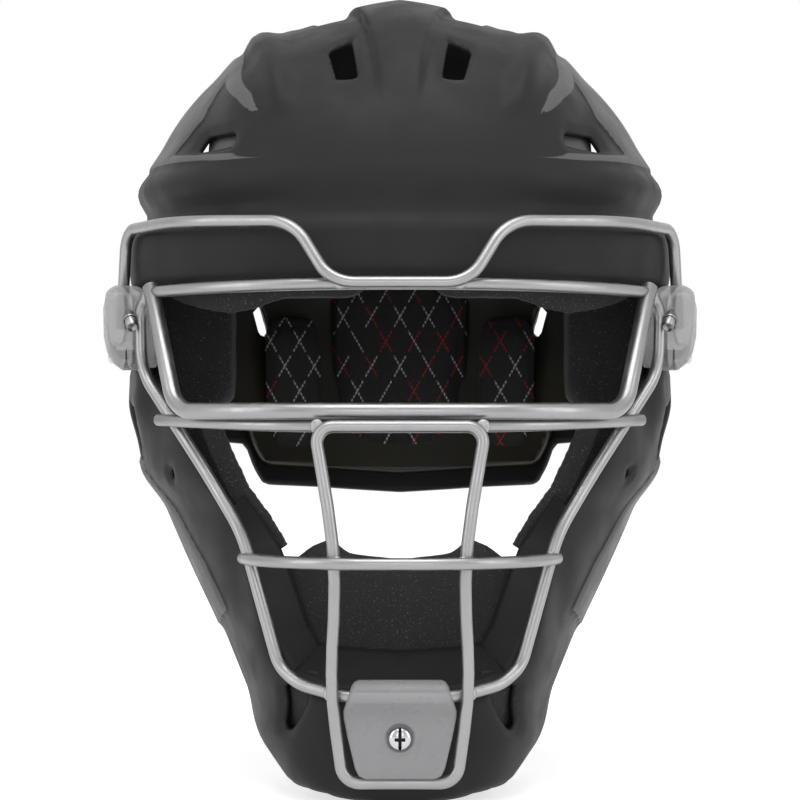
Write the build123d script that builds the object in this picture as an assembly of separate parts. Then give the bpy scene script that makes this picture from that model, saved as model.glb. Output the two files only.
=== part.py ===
from build123d import *
import bisect
import math
import os
from functools import cache

# Catcher helmet of the two-piece mask-and-helmet kind. Lengths are in millimetres.
# It faces -Y, +X is the wearer's left and +Z is up. The origin is midway between the ear canals.

# The skin: one smooth form that every wall, band, vent, pad and clip is measured from
half_width = 108.0          # from the middle plane to the side of the dome
crown_height = 156.0        # top of the plain skin above the ear axis
spring_height = 60.0        # where the dome begins
jaw_depth = 165.0           # lowest section of the skin, under the chin
front_reach = 129.0         # ear axis to the brow
back_reach = 118.0          # ear axis to the back of the head
front_power = 2.5           # superellipse exponents of the plan sections
back_power = 2.3
dome_reach_power = 2.2
section_points = 20

# Skin below the spring line: drop, half width, front, back and centre, as shares
jaw_shares = (
    (0.000, 1.000, 1.000, 1.000, 0.023),
    (0.089, 0.991, 1.023, 1.008, 0.023),
    (0.222, 0.977, 1.054, 0.983, 0.023),
    (0.364, 0.986, 1.093, 0.915, 0.062),
    (0.489, 0.875, 1.147, 0.822, 0.194),
    (0.667, 0.685, 1.209, 0.678, 0.388),
    (0.800, 0.528, 1.233, 0.593, 0.527),
    (0.889, 0.421, 1.217, 0.540, 0.590),
    (1.000, 0.278, 1.163, 0.480, 0.659))
dome_level_shares = (0.25, 0.45, 0.62, 0.76, 0.87, 0.94, 0.98, 0.9995)

# Walls and clearances
shell_wall = 3.5
plate_wall = 3.0
seat_gap = 0.3              # between pieces that rest on each other
pad_gap = 0.3
overrun = 250.0             # how far a cutting prism runs past what it cuts
drill_reach = 14.0          # a drill through one wall reaches this far to each side of the skin

# Raised work on the shell
band_top = 64.0             # brow band
band_bottom = 38.0
band_raise = 3.0
band_end = 56.0             # the band stops this far in front of the ear axis
channel_depth = 3.4         # channel round the head above the band
channel_backing = 2.6       # the wall's inner side follows the channel
channel_end = 50.0          # the channel ends this far behind the ear axis
crest_lift = 4.6            # centre crest at the crown
crest_raise = 0.8
flank_raise = 1.6
flank_start = 32.0          # flank panels and jaw ribs end this far in front of the ear axis

# Face opening and edges
opening_top = 42.0
chin_drop = 152.0           # lowest point of the chin
opening_floor = 113.5       # opening's lower edge below the ear axis
lip_wall = 3.0
lip_back = 125.0            # how far in front of the ear axis the chin lip ends
lip_rise = 12.5             # how far its rear edge is drawn in
face_cut_start = 26.0       # cuts made from the front begin this far in front of the ear axis
flank_vent_start = 65.0
chin_vent_start = 133.0
trim_corner = 10.0
vent_corner = 1.5
ear_slot_long = 20.0
ear_slot_wide = 4.0
ear_slot_height = 2.0
ear_slot_tilt = 75
snap_hole = 4.6             # hole in each side of the jaw for a throat guard's snap
snap_forward = 96.5
snap_drop = 32.6

# Cage
wire = 4.6                  # diameter of the cage wire
port_bar = 6.4              # diameter of the eye port bar
weld = 0.3                  # how far crossing wires sink into each other
wire_fit = 0.2              # round a wire in its clip
wire_gap = 1.0              # between the cage and the shell
cheek_ahead = 0.6           # the cheek bar lies a little in front of the port bar

# Side clips
clip_top = band_bottom - seat_gap
clip_bottom = 8.0
clip_out = 118.0            # outer face of the clip from the middle plane
clip_front = 92.0
clip_back = 50.0
clip_corner = 6.0
clip_root = 86.4            # inside the shell, before the clip is cut to its face
clip_slot = 1.2
leg_end = 24.0              # lower end of the brow wire's leg
stud_height = 27.0
stud_ring = 5.6
stud_ring_length = 1.0
boss = 8.0
screw_height = 14.2
screw_front = 58.0
screw_head = 8.8
screw_head_rise = 2.2
screw_shank = 4.2
screw_fit = 0.3
screw_slot = 1.1
nut_flange = 12.0
nut_plate = 1.2
nut_barrel = 6.4

# Chin clip
chin_clip_half = 19.4
chin_clip_top_half = 15.5
hook_half = 16.7            # half the hook's length along the jaw wire
chin_clip_top = 105.5
chin_clip_bottom = 140.2
chin_clip_plate = 4.2
chin_clip_corner = 4.0
hook_wall = 2.2
chin_screw_drop = 126.0

# Pads
brow_pad_wide = 62.0
brow_pad_high = 43.7
brow_pad_deep = 15.0
brow_pad_side = 43.2        # middle of the pad from the middle plane
brow_pad_height = 57.6
brow_pad_tip = 0.12         # how much its face turns down
temple_pad_wide = 43.2
temple_pad_high = 51.5
temple_pad_deep = 34.0
temple_pad_forward = 27.0
temple_pad_height = 21.6
jaw_pad_wide = 43.2
jaw_pad_high = 48.4
jaw_pad_deep = 27.0
jaw_pad_forward = 60.6
jaw_pad_drop = 45.6
crown_pad_wide = 28.1
crown_pad_long = 122.6
crown_pad_deep = 11.0
crown_pad_forward = 6.5
side_crown_pad_wide = 67.0
side_crown_pad_long = 54.2
side_crown_pad_height = 131.0
chin_pad_deep = 20.0
chin_cup = 46.0             # radius of the hollow in the chin pad
chin_cup_centre = 35.0      # how far behind the pad's back the hollow's centre lies
chin_cup_drop = 77.6
rear_pad_wide = 81.0
rear_pad_high = 34.3
rear_pad_height = 124.8
nape_pad_wide = 64.8
nape_pad_high = 87.4
nape_pad_height = 14.0
side_nape_wide = 30.2
side_nape_high = 42.1
side_nape_side = 54.0
side_nape_height = 7.8
rear_pad_deep = 10.0

# Rear plate and straps
plate_gap = 7.2             # between the shell's edge and the plate, along Y
plate_inset = 1.0
plate_foam = 4.0
plate_foam_margin = 8.0
plate_slot_long = 15.0
plate_slot_wide = 5.0
plate_slot_side = 64.8
plate_slot_height = 31.2
plate_slot_tilt = 15
strap_reach = 22.0          # from the middle of the gap to each rivet
side_strap_share = 0.80     # the side view reach is shorter where the plate turns inwards
side_strap_place_share = 0.36
top_rivet_above = 16.5      # top strap's rivets from the shell's rear edge
top_rivet_below = 25.3
strap_width = 25.0
strap_thick = 1.8
rivet_head = 13.0
rivet_washer = 9.1
rivet_rise = 2.4
rivet_shank = 5.0


def share_at(drop_share, column):
    """One column of the jaw table at a drop, by a monotone cubic through its rows."""
    rows = [row[0] for row in jaw_shares]
    values = [row[column] for row in jaw_shares]
    k = min(max(bisect.bisect_right(rows, drop_share) - 1, 0), len(rows) - 2)

    def slope(i):
        return (values[i + 1] - values[i]) / (rows[i + 1] - rows[i])

    def tangent(i):
        if i == 0:
            return 0.0
        if i == len(rows) - 1:
            return slope(i - 1)
        a, b = slope(i - 1), slope(i)
        return 0.0 if a * b <= 0 else 2 * a * b / (a + b)

    step = rows[k + 1] - rows[k]
    t = (drop_share - rows[k]) / step
    return ((2 * t**3 - 3 * t**2 + 1) * values[k] + (t**3 - 2 * t**2 + t) * step * tangent(k)
            + (3 * t**2 - 2 * t**3) * values[k + 1] + (t**3 - t**2) * step * tangent(k + 1))


def skin_level(z, inset=0.0, lift=0.0):
    """Half width, front end, back end and centre (along Y) of the plan section at height z."""
    drop = max(spring_height - z, 0.0) / (spring_height + jaw_depth)
    top = crown_height + lift - inset
    h = max(z - spring_height, 0.0) / (top - spring_height)
    wide = math.sqrt(1 - h**2)
    long = (1 - h**dome_reach_power)**(1 / dome_reach_power)
    centre = -share_at(drop, 4) * front_reach
    half = (share_at(drop, 1) * half_width - inset) * wide
    front = centre - (share_at(drop, 2) * front_reach - inset + centre) * long
    back = centre + (share_at(drop, 3) * back_reach - inset - centre) * long
    return half, front, back, centre


def skin_point(x, z, rear=False, inset=0.0):
    """Point of the skin at x and z, on the front half or on the rear half."""
    half, front, back, centre = skin_level(z, inset)
    power = back_power if rear else front_power
    share = (1 - min(abs(x) / half, 1.0)**power)**(1 / power)
    reach = (back if rear else front) - centre
    return Vector(x, centre + reach * share, z)


def skin_side(y, z, inset=0.0):
    """Point of the skin on the wearer's left at y and z."""
    half, front, back, centre = skin_level(z, inset)
    power = back_power if y > centre else front_power
    reach = (back if y > centre else front) - centre
    return Vector(half * (1 - min(abs((y - centre) / reach), 1.0)**power)**(1 / power), y, z)


def outward(point, rear=False):
    """Unit normal of the skin, out of the helmet, from three nearby points of it."""
    step = wire / 10
    side = skin_side(point.Y, point.Z)
    if abs(side.X) > half_width / 2:
        along = skin_side(point.Y + step, point.Z) - side
        up = skin_side(point.Y, point.Z + step) - side
        normal = along.cross(up).normalized()
        return Vector(math.copysign(normal.X, point.X), normal.Y, normal.Z)
    here = skin_point(point.X, point.Z, rear)
    along = skin_point(point.X + step, point.Z, rear) - here
    up = skin_point(point.X, point.Z + step, rear) - here
    normal = along.cross(up).normalized()
    return normal * (-1 if rear else 1)


@cache
def hull(inset=0.0, lift=0.0):
    """Solid inside the skin, drawn in by inset, with its crown lifted."""
    levels = [spring_height - row[0] * (spring_height + jaw_depth) for row in reversed(jaw_shares)]
    crown = crown_height + lift - inset
    levels += [spring_height + share * (crown - spring_height) for share in dome_level_shares]
    stations = [k / section_points for k in range(section_points + 1)]
    sections = []
    for z in levels:
        half, front, back, centre = skin_level(z, inset, lift)
        ring = []
        for k in range(section_points):
            turn = 2 * math.pi * (k + 0.5) / section_points
            power = back_power if math.sin(turn) > 0 else front_power
            reach = back - centre if math.sin(turn) > 0 else centre - front
            across = math.copysign(abs(math.cos(turn))**(2 / power), math.cos(turn))
            along = math.copysign(abs(math.sin(turn))**(2 / power), math.sin(turn))
            ring.append(Vector(half * across, centre + reach * along, z))
        sections.append(Wire([Edge.make_spline(ring, periodic=True, parameters=stations)]))
    return Solid.make_loft(sections)


def outline(plane, points, rounding=0.0):
    """Closed face on a plane, its corners rounded by one radius or by one radius each."""
    radii = rounding if isinstance(rounding, (list, tuple)) else [rounding] * len(points)
    if not any(radii):
        return plane * make_face(Polyline(*points, close=True))
    corners = [(x, y, 0) for x, y in points]
    return plane * make_face(FilletPolyline(*corners, radius=list(radii), close=True))


def prism(plane, points, rounding, start, end):
    """Outline on a plane, run along its normal from start to end."""
    face = outline(plane.offset(start), points, rounding)
    return extrude(face, amount=end - start)


front_view = Plane(origin=(0, 0, 0), x_dir=(1, 0, 0), z_dir=(0, -1, 0))   # (x, z), towards -Y
side_view = Plane(origin=(0, 0, 0), x_dir=(0, 1, 0), z_dir=(1, 0, 0))     # (y, z), towards +X


def mirrored(rows):
    """Points and corner radii of an outline that is the same on both sides of the middle plane."""
    rows = list(rows) + [(-row[0],) + tuple(row[1:]) for row in reversed(rows) if row[0] != 0]
    return [(row[0], row[1]) for row in rows], [row[2] for row in rows]


def both_sides(shape):
    """A shape on the wearer's left with its mirror image on the right."""
    return shape, mirror(shape, about=Plane.YZ)


def joined(shapes):
    """One shape made of several that meet."""
    total = shapes[0]
    for shape in shapes[1:]:
        total += shape
    return total


# Outlines of the main shell, as shares of half width with front reach, crown height or chin drop
opening_upper_shares = ((0.0, 1.0, 0.0), (0.898, 0.955, 0.55), (0.907, 0.19, 1.2))
opening_lower_shares = ((0.560, -0.458, 0.8), (0.525, -0.570, 0.8), (0.422, -0.890, 1.4), (0.306, -0.978, 1.4),
                        (0.0, -1.0, 0.0))
trim_shares = ((1.20, 0.647, 0.0), (0.930, 0.647, 0.6), (0.500, 0.154, 1.2), (0.441, -0.083, 0.6),
               (0.340, -0.151, 0.9), (0.050, -0.158, 0.9), (-0.085, -0.211, 0.9), (-0.610, -0.895, 0.0))
chin_shares = ((0.0, -1.0, 0.0), (0.26, -0.984, 1.5), (0.40, -0.925, 1.2), (0.480, -0.840, 0.0))
crest_shares = ((0.060, -0.93, 0.0), (0.200, -0.15, 0.0), (0.200, 0.25, 0.0), (0.150, 0.62, 0.0))
side_crest_shares = ((0.470, -0.86), (0.560, -0.50), (0.600, -0.10), (0.570, 0.35), (0.460, 0.78),
                     (0.360, 0.78), (0.460, 0.30), (0.480, -0.10), (0.430, -0.50), (0.370, -0.86))
channel_shares = ((0.36, 0.455), (0.60, 0.422), (1.20, 0.420), (1.20, 0.482), (0.60, 0.480))
flank_shares = ((0.606, 0.790), (0.880, 0.600), (0.440, 0.580))
jaw_rib_shares = ((0.62, -0.60), (0.94, -0.15), (1.05, -0.15), (1.05, -0.74), (0.70, -0.74))
top_vent_shares = (
    ((0.264, -0.678), (0.178, -0.636), (0.148, -0.827), (0.230, -0.809)),
    ((0.300, -0.400), (0.220, -0.380), (0.212, -0.150), (0.315, -0.160)),
    ((0.325, -0.030), (0.215, -0.050), (0.205, 0.180), (0.310, 0.200)))
flank_vent_shares = ((0.755, 0.592), (0.716, 0.644), (0.593, 0.638), (0.586, 0.615), (0.600, 0.599))
rear_vent_shares = ((0.25, 0.760), (0.42, 0.690), (0.55, 0.600), (0.52, 0.560), (0.38, 0.630), (0.22, 0.690))
jaw_vent_shares = ((-0.480, -0.055), (-0.264, -0.025), (-0.295, -0.180), (-0.434, -0.205))
chin_vent_shares = ((0.408, -0.708), (0.313, -0.739), (0.340, -0.802), (0.354, -0.824), (0.386, -0.824),
                    (0.398, -0.757))
ear_slot_shares = (0.06, 0.13, 0.20)
lip_shares = (
    ((0.000, -1.000), (0.00, -1.00), 1.0, 1.0),
    ((0.240, -0.985), (0.08, -1.00), 1.0, 1.0),
    ((0.375, -0.945), (0.70, -0.71), 1.0, 1.0),
    ((0.440, -0.830), (0.94, -0.34), 1.0, 1.0),
    ((0.528, -0.565), (0.94, -0.34), 0.95, 1.0),
    ((0.600, -0.400), (0.85, -0.53), 0.40, 0.90))


def scaled(rows, across, up, corner=0.0):
    """Outline rows in shares turned into lengths, with corner radii where the rows have them."""
    return [(row[0] * across, row[1] * up, row[2] * corner if len(row) > 2 else 0.0) for row in rows]


def flat_points(rows):
    return [(row[0], row[1]) for row in rows]


def trim_rows(shift=0.0):
    """Rear and lower edge of the main shell in the side view, moved back by a shift."""
    return [(y + shift, z, r) for y, z, r in scaled(trim_shares, back_reach, crown_height, trim_corner)]


def shell_region():
    """What lies in front of the shell's rear edge and above its chin edge."""
    rows = trim_rows()
    ends = [(-overrun, -jaw_depth, 0.0), (-overrun, overrun, 0.0), (rows[0][0], overrun, 0.0)]
    rows = rows[:-1] + [(rows[-1][0], rows[-1][1], 0.0), (rows[-1][0], -jaw_depth, 0.0)] + ends
    points, radii = flat_points(rows), [row[2] for row in rows]
    side = prism(side_view, points, radii, -overrun, overrun)
    rows = scaled(chin_shares, half_width, chin_drop, trim_corner)
    rows += [(overrun, rows[-1][1], 0.0), (overrun, overrun, 0.0)]
    points, radii = mirrored(rows)
    front = prism(front_view, points, radii, -overrun, overrun)
    return side & front


def face_opening():
    rows = scaled(opening_upper_shares, half_width, opening_top, trim_corner)
    rows += scaled(opening_lower_shares, half_width, opening_floor, trim_corner)
    points, radii = mirrored(rows)
    return prism(front_view, points, radii, face_cut_start, overrun)


def brow_band():
    """The raised band over the face opening."""
    points, _ = mirrored([(overrun, band_bottom, 0.0), (overrun, band_top, 0.0)])
    region = prism(front_view, points, 0.0, band_end, overrun)
    return hull(-band_raise) & region


def channel():
    """Both sides of the channel above the band."""
    points = flat_points(scaled(channel_shares, half_width, crown_height))
    return joined(both_sides(prism(front_view, points, 0.0, -channel_end, overrun)))


def crests():
    points, _ = mirrored(scaled(crest_shares, half_width, front_reach))
    region = prism(Plane.XY, points, 0.0, spring_height, overrun)
    points = flat_points(scaled(side_crest_shares, half_width, front_reach))
    side = prism(Plane.XY, points, 0.0, spring_height, overrun)
    return hull(-crest_raise, crest_lift) & joined([region, *both_sides(side)])


def flank_panels():
    points = flat_points(scaled(flank_shares, half_width, crown_height))
    panel = prism(front_view, points, 0.0, flank_start, overrun)
    points = flat_points(scaled(jaw_rib_shares, half_width, chin_drop))
    rib = prism(front_view, points, 0.0, flank_start, overrun)
    return hull(-flank_raise) & joined([*both_sides(panel), *both_sides(rib)])


def vents():
    """Every hole through the shell for air or hearing, as prisms."""
    cuts = []
    for rows in top_vent_shares:
        points = flat_points(scaled(rows, half_width, front_reach))
        cuts += both_sides(prism(Plane.XY, points, vent_corner, spring_height, overrun))
    points = flat_points(scaled(flank_vent_shares, half_width, crown_height))
    cuts += both_sides(prism(front_view, points, vent_corner, flank_vent_start, overrun))
    points = flat_points(scaled(chin_vent_shares, half_width, chin_drop))
    cuts += both_sides(prism(front_view, points, vent_corner, chin_vent_start, overrun))
    sides = (rear_vent_shares, back_reach, crown_height), (jaw_vent_shares, front_reach, chin_drop)
    for rows, long, up in sides:
        points = flat_points(scaled(rows, long, up))
        cuts.append(prism(side_view, points, vent_corner, -overrun, overrun))
    for share in ear_slot_shares:
        start = Vector(-overrun, share * back_reach, ear_slot_height)
        plane = Plane(origin=start, x_dir=(0, 1, 0), z_dir=(1, 0, 0))
        slot = plane * SlotOverall(ear_slot_long, ear_slot_wide, ear_slot_tilt)
        cuts.append(extrude(slot, amount=2 * overrun))
    return cuts


def lip():
    """Inner return of the jaw: it runs back from the face opening's edge."""
    sections = []
    for (x, z), (nx, nz), rise, back in lip_shares:
        edge = skin_point(x * half_width, z * opening_floor, inset=shell_wall / 6)
        out = Vector(nx, 0, nz).normalized()
        rear = Vector(edge.X, -lip_back * back, edge.Z) - out * (lip_rise * rise)
        corners = [edge, edge + out * lip_wall, rear + out * lip_wall, rear]
        sections.append(Wire.make_polygon(corners, close=True))
    half = Solid.make_loft(sections, ruled=True)
    return joined(both_sides(half))


def main_shell():
    """The front shell: dome, brow, jaw and chin in one moulding."""
    groove = channel()
    core = hull(shell_wall / 2)
    wall = hull() - hull(shell_wall)
    backing = (core - hull(shell_wall + channel_backing)) & groove
    wall = wall + backing - (groove - hull(channel_depth))
    wall = wall + [brow_band() - core, crests() - core, flank_panels() - core]
    shell = (wall & shell_region()) - face_opening() + lip()
    holes = vents()
    holes += [wall_hole(point, side, snap_hole) for point, side in snap_places()]
    holes += [wall_hole(point, side, nut_barrel + screw_fit) for point, side in side_screw_places()]
    holes.append(wall_hole(chin_screw_place(), 1, nut_barrel + screw_fit))
    holes += [wall_hole(point, 1, rivet_shank + screw_fit) for point in rivet_places(True)]
    return shell - holes


# Fasteners: each stands on a place of the skin, its axis along the skin's normal there
def mirror_point(point, side):
    return Vector(point.X * side, point.Y, point.Z)


def on_skin(point):
    """Plane at a place of the skin, its Z axis out of the helmet."""
    normal = outward(point, rear=point.Y > 0)
    return Plane(origin=point, z_dir=normal)


def wall_hole(point, side, diameter):
    plane = on_skin(mirror_point(point, side))
    return plane * Cylinder(diameter / 2, 2 * drill_reach)


def snap_places():
    point = skin_side(-snap_forward, -snap_drop)
    return [(point, 1), (point, -1)]


def side_screw_places():
    point = skin_side(-screw_front, screw_height)
    return [(point, 1), (point, -1)]


def chin_screw_place():
    return skin_point(0, -chin_screw_drop)


# Half profile of a domed head: radius and height
dome_shares = ((1.0, 0.0), (1.0, 0.4), (0.85, 0.8), (0.5, 0.97), (0.0, 1.0))


def post(radius, long):
    """Cylinder that stands on its plane."""
    return Cylinder(radius, long, align=(Align.CENTER, Align.CENTER, Align.MIN))


def spun(rows):
    """Solid of revolution about Z from a profile of radius and height."""
    face = Plane.XZ * make_face(Polyline(*rows, close=True))
    return revolve(face, axis=Axis.Z)


def clip_screw(seat):
    """Domed screw whose head sits at the seat height over the skin; its slot crosses the head."""
    shank = screw_shank / 2
    low = -shell_wall - nut_plate - seat_gap
    rows = [(0, low), (shank, low), (shank, seat)]
    rows += [(r * screw_head / 2, seat + h * screw_head_rise) for r, h in dome_shares]
    slot = Pos(0, 0, seat + screw_head_rise) * Box(2 * screw_head, screw_slot, screw_head_rise)
    cross = Pos(0, 0, seat + screw_head_rise) * Box(screw_slot, screw_head / 2, screw_head_rise)
    return spun(rows) - slot - cross


def tee_nut():
    """Flanged nut inside the wall; its barrel stands in the wall's hole."""
    flange, barrel, bore = nut_flange / 2, nut_barrel / 2, screw_shank / 2 + screw_fit / 2
    low = -shell_wall - seat_gap - nut_plate
    rows = [(bore, low), (flange, low), (flange, low + nut_plate), (barrel, low + nut_plate),
            (barrel, -seat_gap), (bore, -seat_gap)]
    return spun(rows)


# Cage: each wire is bent from straight runs and arcs, from the middle plane outwards, and mirrored
def bent_wire(points, shares, diameter):
    """Sweep a round bar along half a path and its mirror image; shares say how much of a run a bend takes."""
    radii = []
    for k, share in enumerate(shares):
        before, after = points[k + 1] - points[k], points[k + 2] - points[k + 1]
        half_turn = math.radians(before.get_angle(after)) / 2
        radii.append(share * min(before.length, after.length) / math.tan(half_turn))
    path = FilletPolyline(*points, radius=radii)
    start = Plane(origin=points[0], z_dir=points[1] - points[0])
    half = sweep(start * Circle(diameter / 2), path=path)
    return half + mirror(half, about=Plane.YZ)


def between(a, b, axis, value):
    """Point of the line through a and b where its X, Y or Z (0, 1, 2) has a value."""
    a_value, b_value = tuple(a)[axis], tuple(b)[axis]
    return a + (b - a) * ((value - a_value) / (b_value - a_value))


# Places of the wires' corners and ends, as shares of half width, front reach and chin drop
crossing = wire - weld
top_bar_middle_shares = (0.0, -1.105, 0.256)
top_bar_bend_share, top_bar_end_share = 0.537, 0.245
jaw_floor_share, jaw_run_share = 0.734, 0.185
cheek_bend_share, cheek_cross_share, cheek_end_share = 0.463, -0.078, 0.855
mouth_height_share, mouth_reach_share, mouth_bend_share, mouth_end_share = 0.412, 1.368, 0.407, 0.540
mouth_share = 0.9           # how much of the mouth bar's half is one bow
loop_side_share, loop_top_share, loop_cross_share, loop_low_share = 0.209, 0.259, 0.234, 0.190
loop_cross_height_share, loop_floor_share = 0.712, 0.939
brow_run_share = 0.236
brow_shares = ((0.366, -1.066, 0.410), (0.787, -0.891, 0.418), (1.007, -0.543, 0.412))
brow_leg_shares = (1.031, -0.508)
port_shares = ((0.0, -1.233, -0.054), (0.454, -1.233, -0.054), (0.778, -0.969, -0.054), (0.887, -0.752, 0.262))
jaw_upper_shares = ((0.541, -1.060, -0.351), (0.657, -0.975, -0.220), (0.924, -0.715, 0.047),
                    (0.931, -0.700, 0.204), (0.884, -0.757, 0.252))
jaw_lower_shares = ((0.343, -0.709), (0.412, -0.668))


def placed(shares):
    x, y, z = shares
    return Vector(x * half_width, y * front_reach, z * chin_drop)


port_points = [placed(row) for row in port_shares]
top_bar_end = between(port_points[2], port_points[3], 2, top_bar_end_share * chin_drop)
top_bar_middle = placed(top_bar_middle_shares)
top_bar_bend = Vector(top_bar_bend_share * half_width, top_bar_middle.Y, top_bar_middle.Z)
jaw_floor = -jaw_floor_share * chin_drop
jaw_middle = Vector(0, skin_point(0, jaw_floor).Y - wire / 2 - wire_gap, jaw_floor)
jaw_points = [jaw_middle, Vector(jaw_run_share * half_width, jaw_middle.Y, jaw_middle.Z)]
jaw_points += [skin_point(x * half_width, z * chin_drop) - Vector(0, wire / 2 + 2 * wire_gap, 0)
               for x, z in jaw_lower_shares]
jaw_points += [placed(row) for row in jaw_upper_shares]
cheek_middle = port_points[0] - Vector(0, cheek_ahead, (port_bar + wire) / 2 - weld / 2)
cheek_bend = Vector(cheek_bend_share * half_width, cheek_middle.Y, cheek_middle.Z)
cheek_cross = between(jaw_points[5], jaw_points[6], 2, cheek_cross_share * chin_drop) - Vector(0, crossing, 0)
cheek_end = between(cheek_bend, cheek_cross, 0, cheek_end_share * half_width)
mouth_height = -mouth_height_share * chin_drop
mouth_middle = Vector(0, -mouth_reach_share * front_reach, mouth_height)
mouth_bend = Vector(mouth_bend_share * half_width, mouth_middle.Y, mouth_height)
mouth_cross = between(jaw_points[3], jaw_points[4], 2, mouth_height) - Vector(0, crossing, 0)
mouth_end = between(mouth_bend, mouth_cross, 0, mouth_end_share * half_width)


def mouth_front(x):
    """Y of the mouth bar's bow at x."""
    reach = mouth_share * mouth_bend.X
    half_turn = math.radians((mouth_end - mouth_bend).get_angle(Vector(1, 0, 0))) / 2
    radius = reach / math.tan(half_turn)
    inner = max(x - (mouth_bend.X - reach), 0.0)
    return mouth_middle.Y + radius - math.sqrt(radius**2 - inner**2)


loop_side = loop_side_share * half_width
loop_top = Vector(loop_top_share * half_width, cheek_middle.Y - crossing, cheek_middle.Z)
loop_mouth = Vector(loop_side, mouth_front(loop_side) + crossing, mouth_height)
loop_jaw_cross = between(jaw_points[1], jaw_points[2], 0, loop_cross_share * half_width)
loop_jaw = Vector(loop_jaw_cross.X, loop_jaw_cross.Y - crossing, -loop_cross_height_share * chin_drop)
loop_floor = -loop_floor_share * chin_drop
loop_low = Vector(loop_low_share * half_width, skin_point(0, loop_floor).Y - wire / 2 - wire_gap, loop_floor)
loop_points = [Vector(0, loop_top.Y, loop_top.Z), loop_top, loop_mouth, loop_jaw, loop_low,
               Vector(0, loop_low.Y, loop_low.Z)]
brow_points = [top_bar_middle - Vector(0, crossing, -weld),
               top_bar_middle - Vector(-brow_run_share * half_width, crossing, -weld)]
brow_points += [placed(row) for row in brow_shares]
brow_points.append(Vector(brow_leg_shares[0] * half_width, brow_leg_shares[1] * front_reach, leg_end))


def port_frame():
    return bent_wire(port_points, (0.70, 0.20), port_bar)


def brow_wire():
    return bent_wire(brow_points, (0.35, 0.35, 0.40, 0.22), wire)


def jaw_wire(diameter=wire):
    return bent_wire(jaw_points, (0.40, 0.40, 0.40, 0.30, 0.45, 0.40, 0.40), diameter)


def cheek_bar():
    return bent_wire([cheek_middle, cheek_bend, cheek_end], (0.88,), wire)


def mouth_bar():
    return bent_wire([mouth_middle, mouth_bend, mouth_end], (mouth_share,), wire)


def centre_loop():
    return bent_wire(loop_points, (0.22, 0.45, 0.45, 0.30), wire)


def stud_point():
    return between(jaw_points[6], jaw_points[7], 2, stud_height)


def cage_stud():
    """Short bar from the jaw wire into the clip, with its retaining ring."""
    start = stud_point()
    along = Plane(origin=start, z_dir=(1, 0, 0))
    bar = along * post(wire / 2, clip_out - clip_corner - start.X)
    ring_at = Plane(origin=start + Vector(wire / 2 + weld, 0, 0), z_dir=(1, 0, 0))
    ring = ring_at * post(stud_ring / 2, stud_ring_length)
    return (bar + ring) - jaw_wire()


def side_clip():
    """Saddle clip on the wearer's left: it holds the brow wire's leg and the cage stud."""
    stud = stud_point()
    inner = stud.X + wire / 2 + wire_gap + stud_ring_length
    rows = [(inner, -clip_front), (clip_out - clip_corner / 2, -clip_front + clip_corner / 3),
            (clip_out, -clip_front + 3 * clip_corner), (clip_out, -clip_back - clip_corner),
            (clip_out - clip_corner / 2, -clip_back), (clip_root, -clip_back),
            (clip_root, -clip_front + 2 * clip_corner), (inner, -clip_front + clip_corner)]
    block = prism(Plane.XY, rows, 0.0, clip_bottom, clip_top)
    side = [(-clip_front, clip_bottom), (-clip_front, clip_top), (-clip_back, clip_top),
            (-clip_back, clip_bottom)]
    block = block & prism(side_view, side, clip_corner, 0, 2 * clip_out)
    boss_start = Plane(origin=(inner - wire_gap / 2, stud.Y, stud_height), z_dir=(1, 0, 0))
    long = clip_out - clip_corner / 2 - inner
    block += boss_start * post(boss / 2, long)
    leg, knee = brow_points[5], brow_points[4]
    leg_plane = Plane(origin=leg - (knee - leg).normalized() * wire_fit, z_dir=knee - leg)
    bore = wire / 2 + wire_fit
    stud_plane = Plane(origin=stud, z_dir=(1, 0, 0))
    cuts = [hull(-seat_gap), leg_plane * post(bore, 2 * clip_top),
            stud_plane * post(bore, clip_out - clip_corner - stud.X + wire_fit)]
    slot_middle = (inner + clip_out) / 2 - clip_slot
    cuts.append(Pos(slot_middle, -(clip_front + clip_back) / 2, clip_bottom)
                * Box(clip_slot, 2 * clip_front, screw_height - clip_bottom))
    screw = on_skin(side_screw_places()[0][0])
    cuts.append(screw * Cylinder(screw_shank / 2 + screw_fit, 2 * clip_out))
    cuts.append(screw * Pos(0, 0, clip_seat()) * post(screw_head / 2 + screw_fit, 4 * clip_corner))
    return block - cuts


def clip_seat():
    """Height of the side screw's seat over the skin."""
    point = side_screw_places()[0][0]
    normal = outward(point)
    return (clip_out - point.X) / normal.X - screw_head_rise


def chin_clip():
    """Plate on the chin whose hook closes round the jaw wire."""
    front = skin_point(0, -chin_screw_drop).Y - seat_gap - chin_clip_plate
    rear = jaw_middle.Y + wire / 2 + hook_wall
    rows = [(chin_clip_top_half, -chin_clip_top, chin_clip_corner), (hook_half, jaw_middle.Z, 0),
            (chin_clip_half, -chin_clip_top - 3 * chin_clip_corner, chin_clip_corner),
            (chin_clip_half, -chin_screw_drop, 0), (hook_half, -chin_clip_bottom, chin_clip_corner)]
    points, radii = mirrored(rows)
    plate = prism(front_view, points, radii, -rear, -front)
    hook = Plane(origin=(0, jaw_middle.Y, jaw_middle.Z), z_dir=(1, 0, 0))
    plate += hook * Cylinder(wire / 2 + hook_wall, 2 * hook_half)
    screw = on_skin(chin_screw_place())
    spot_face = post(screw_head / 2 + screw_fit, 4 * chin_clip_plate)
    return plate - [hull(-seat_gap), jaw_wire(wire + 2 * wire_fit),
                    screw * Cylinder(screw_shank / 2 + screw_fit, 4 * chin_clip_plate),
                    screw * Pos(0, 0, chin_clip_plate) * spot_face]


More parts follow.
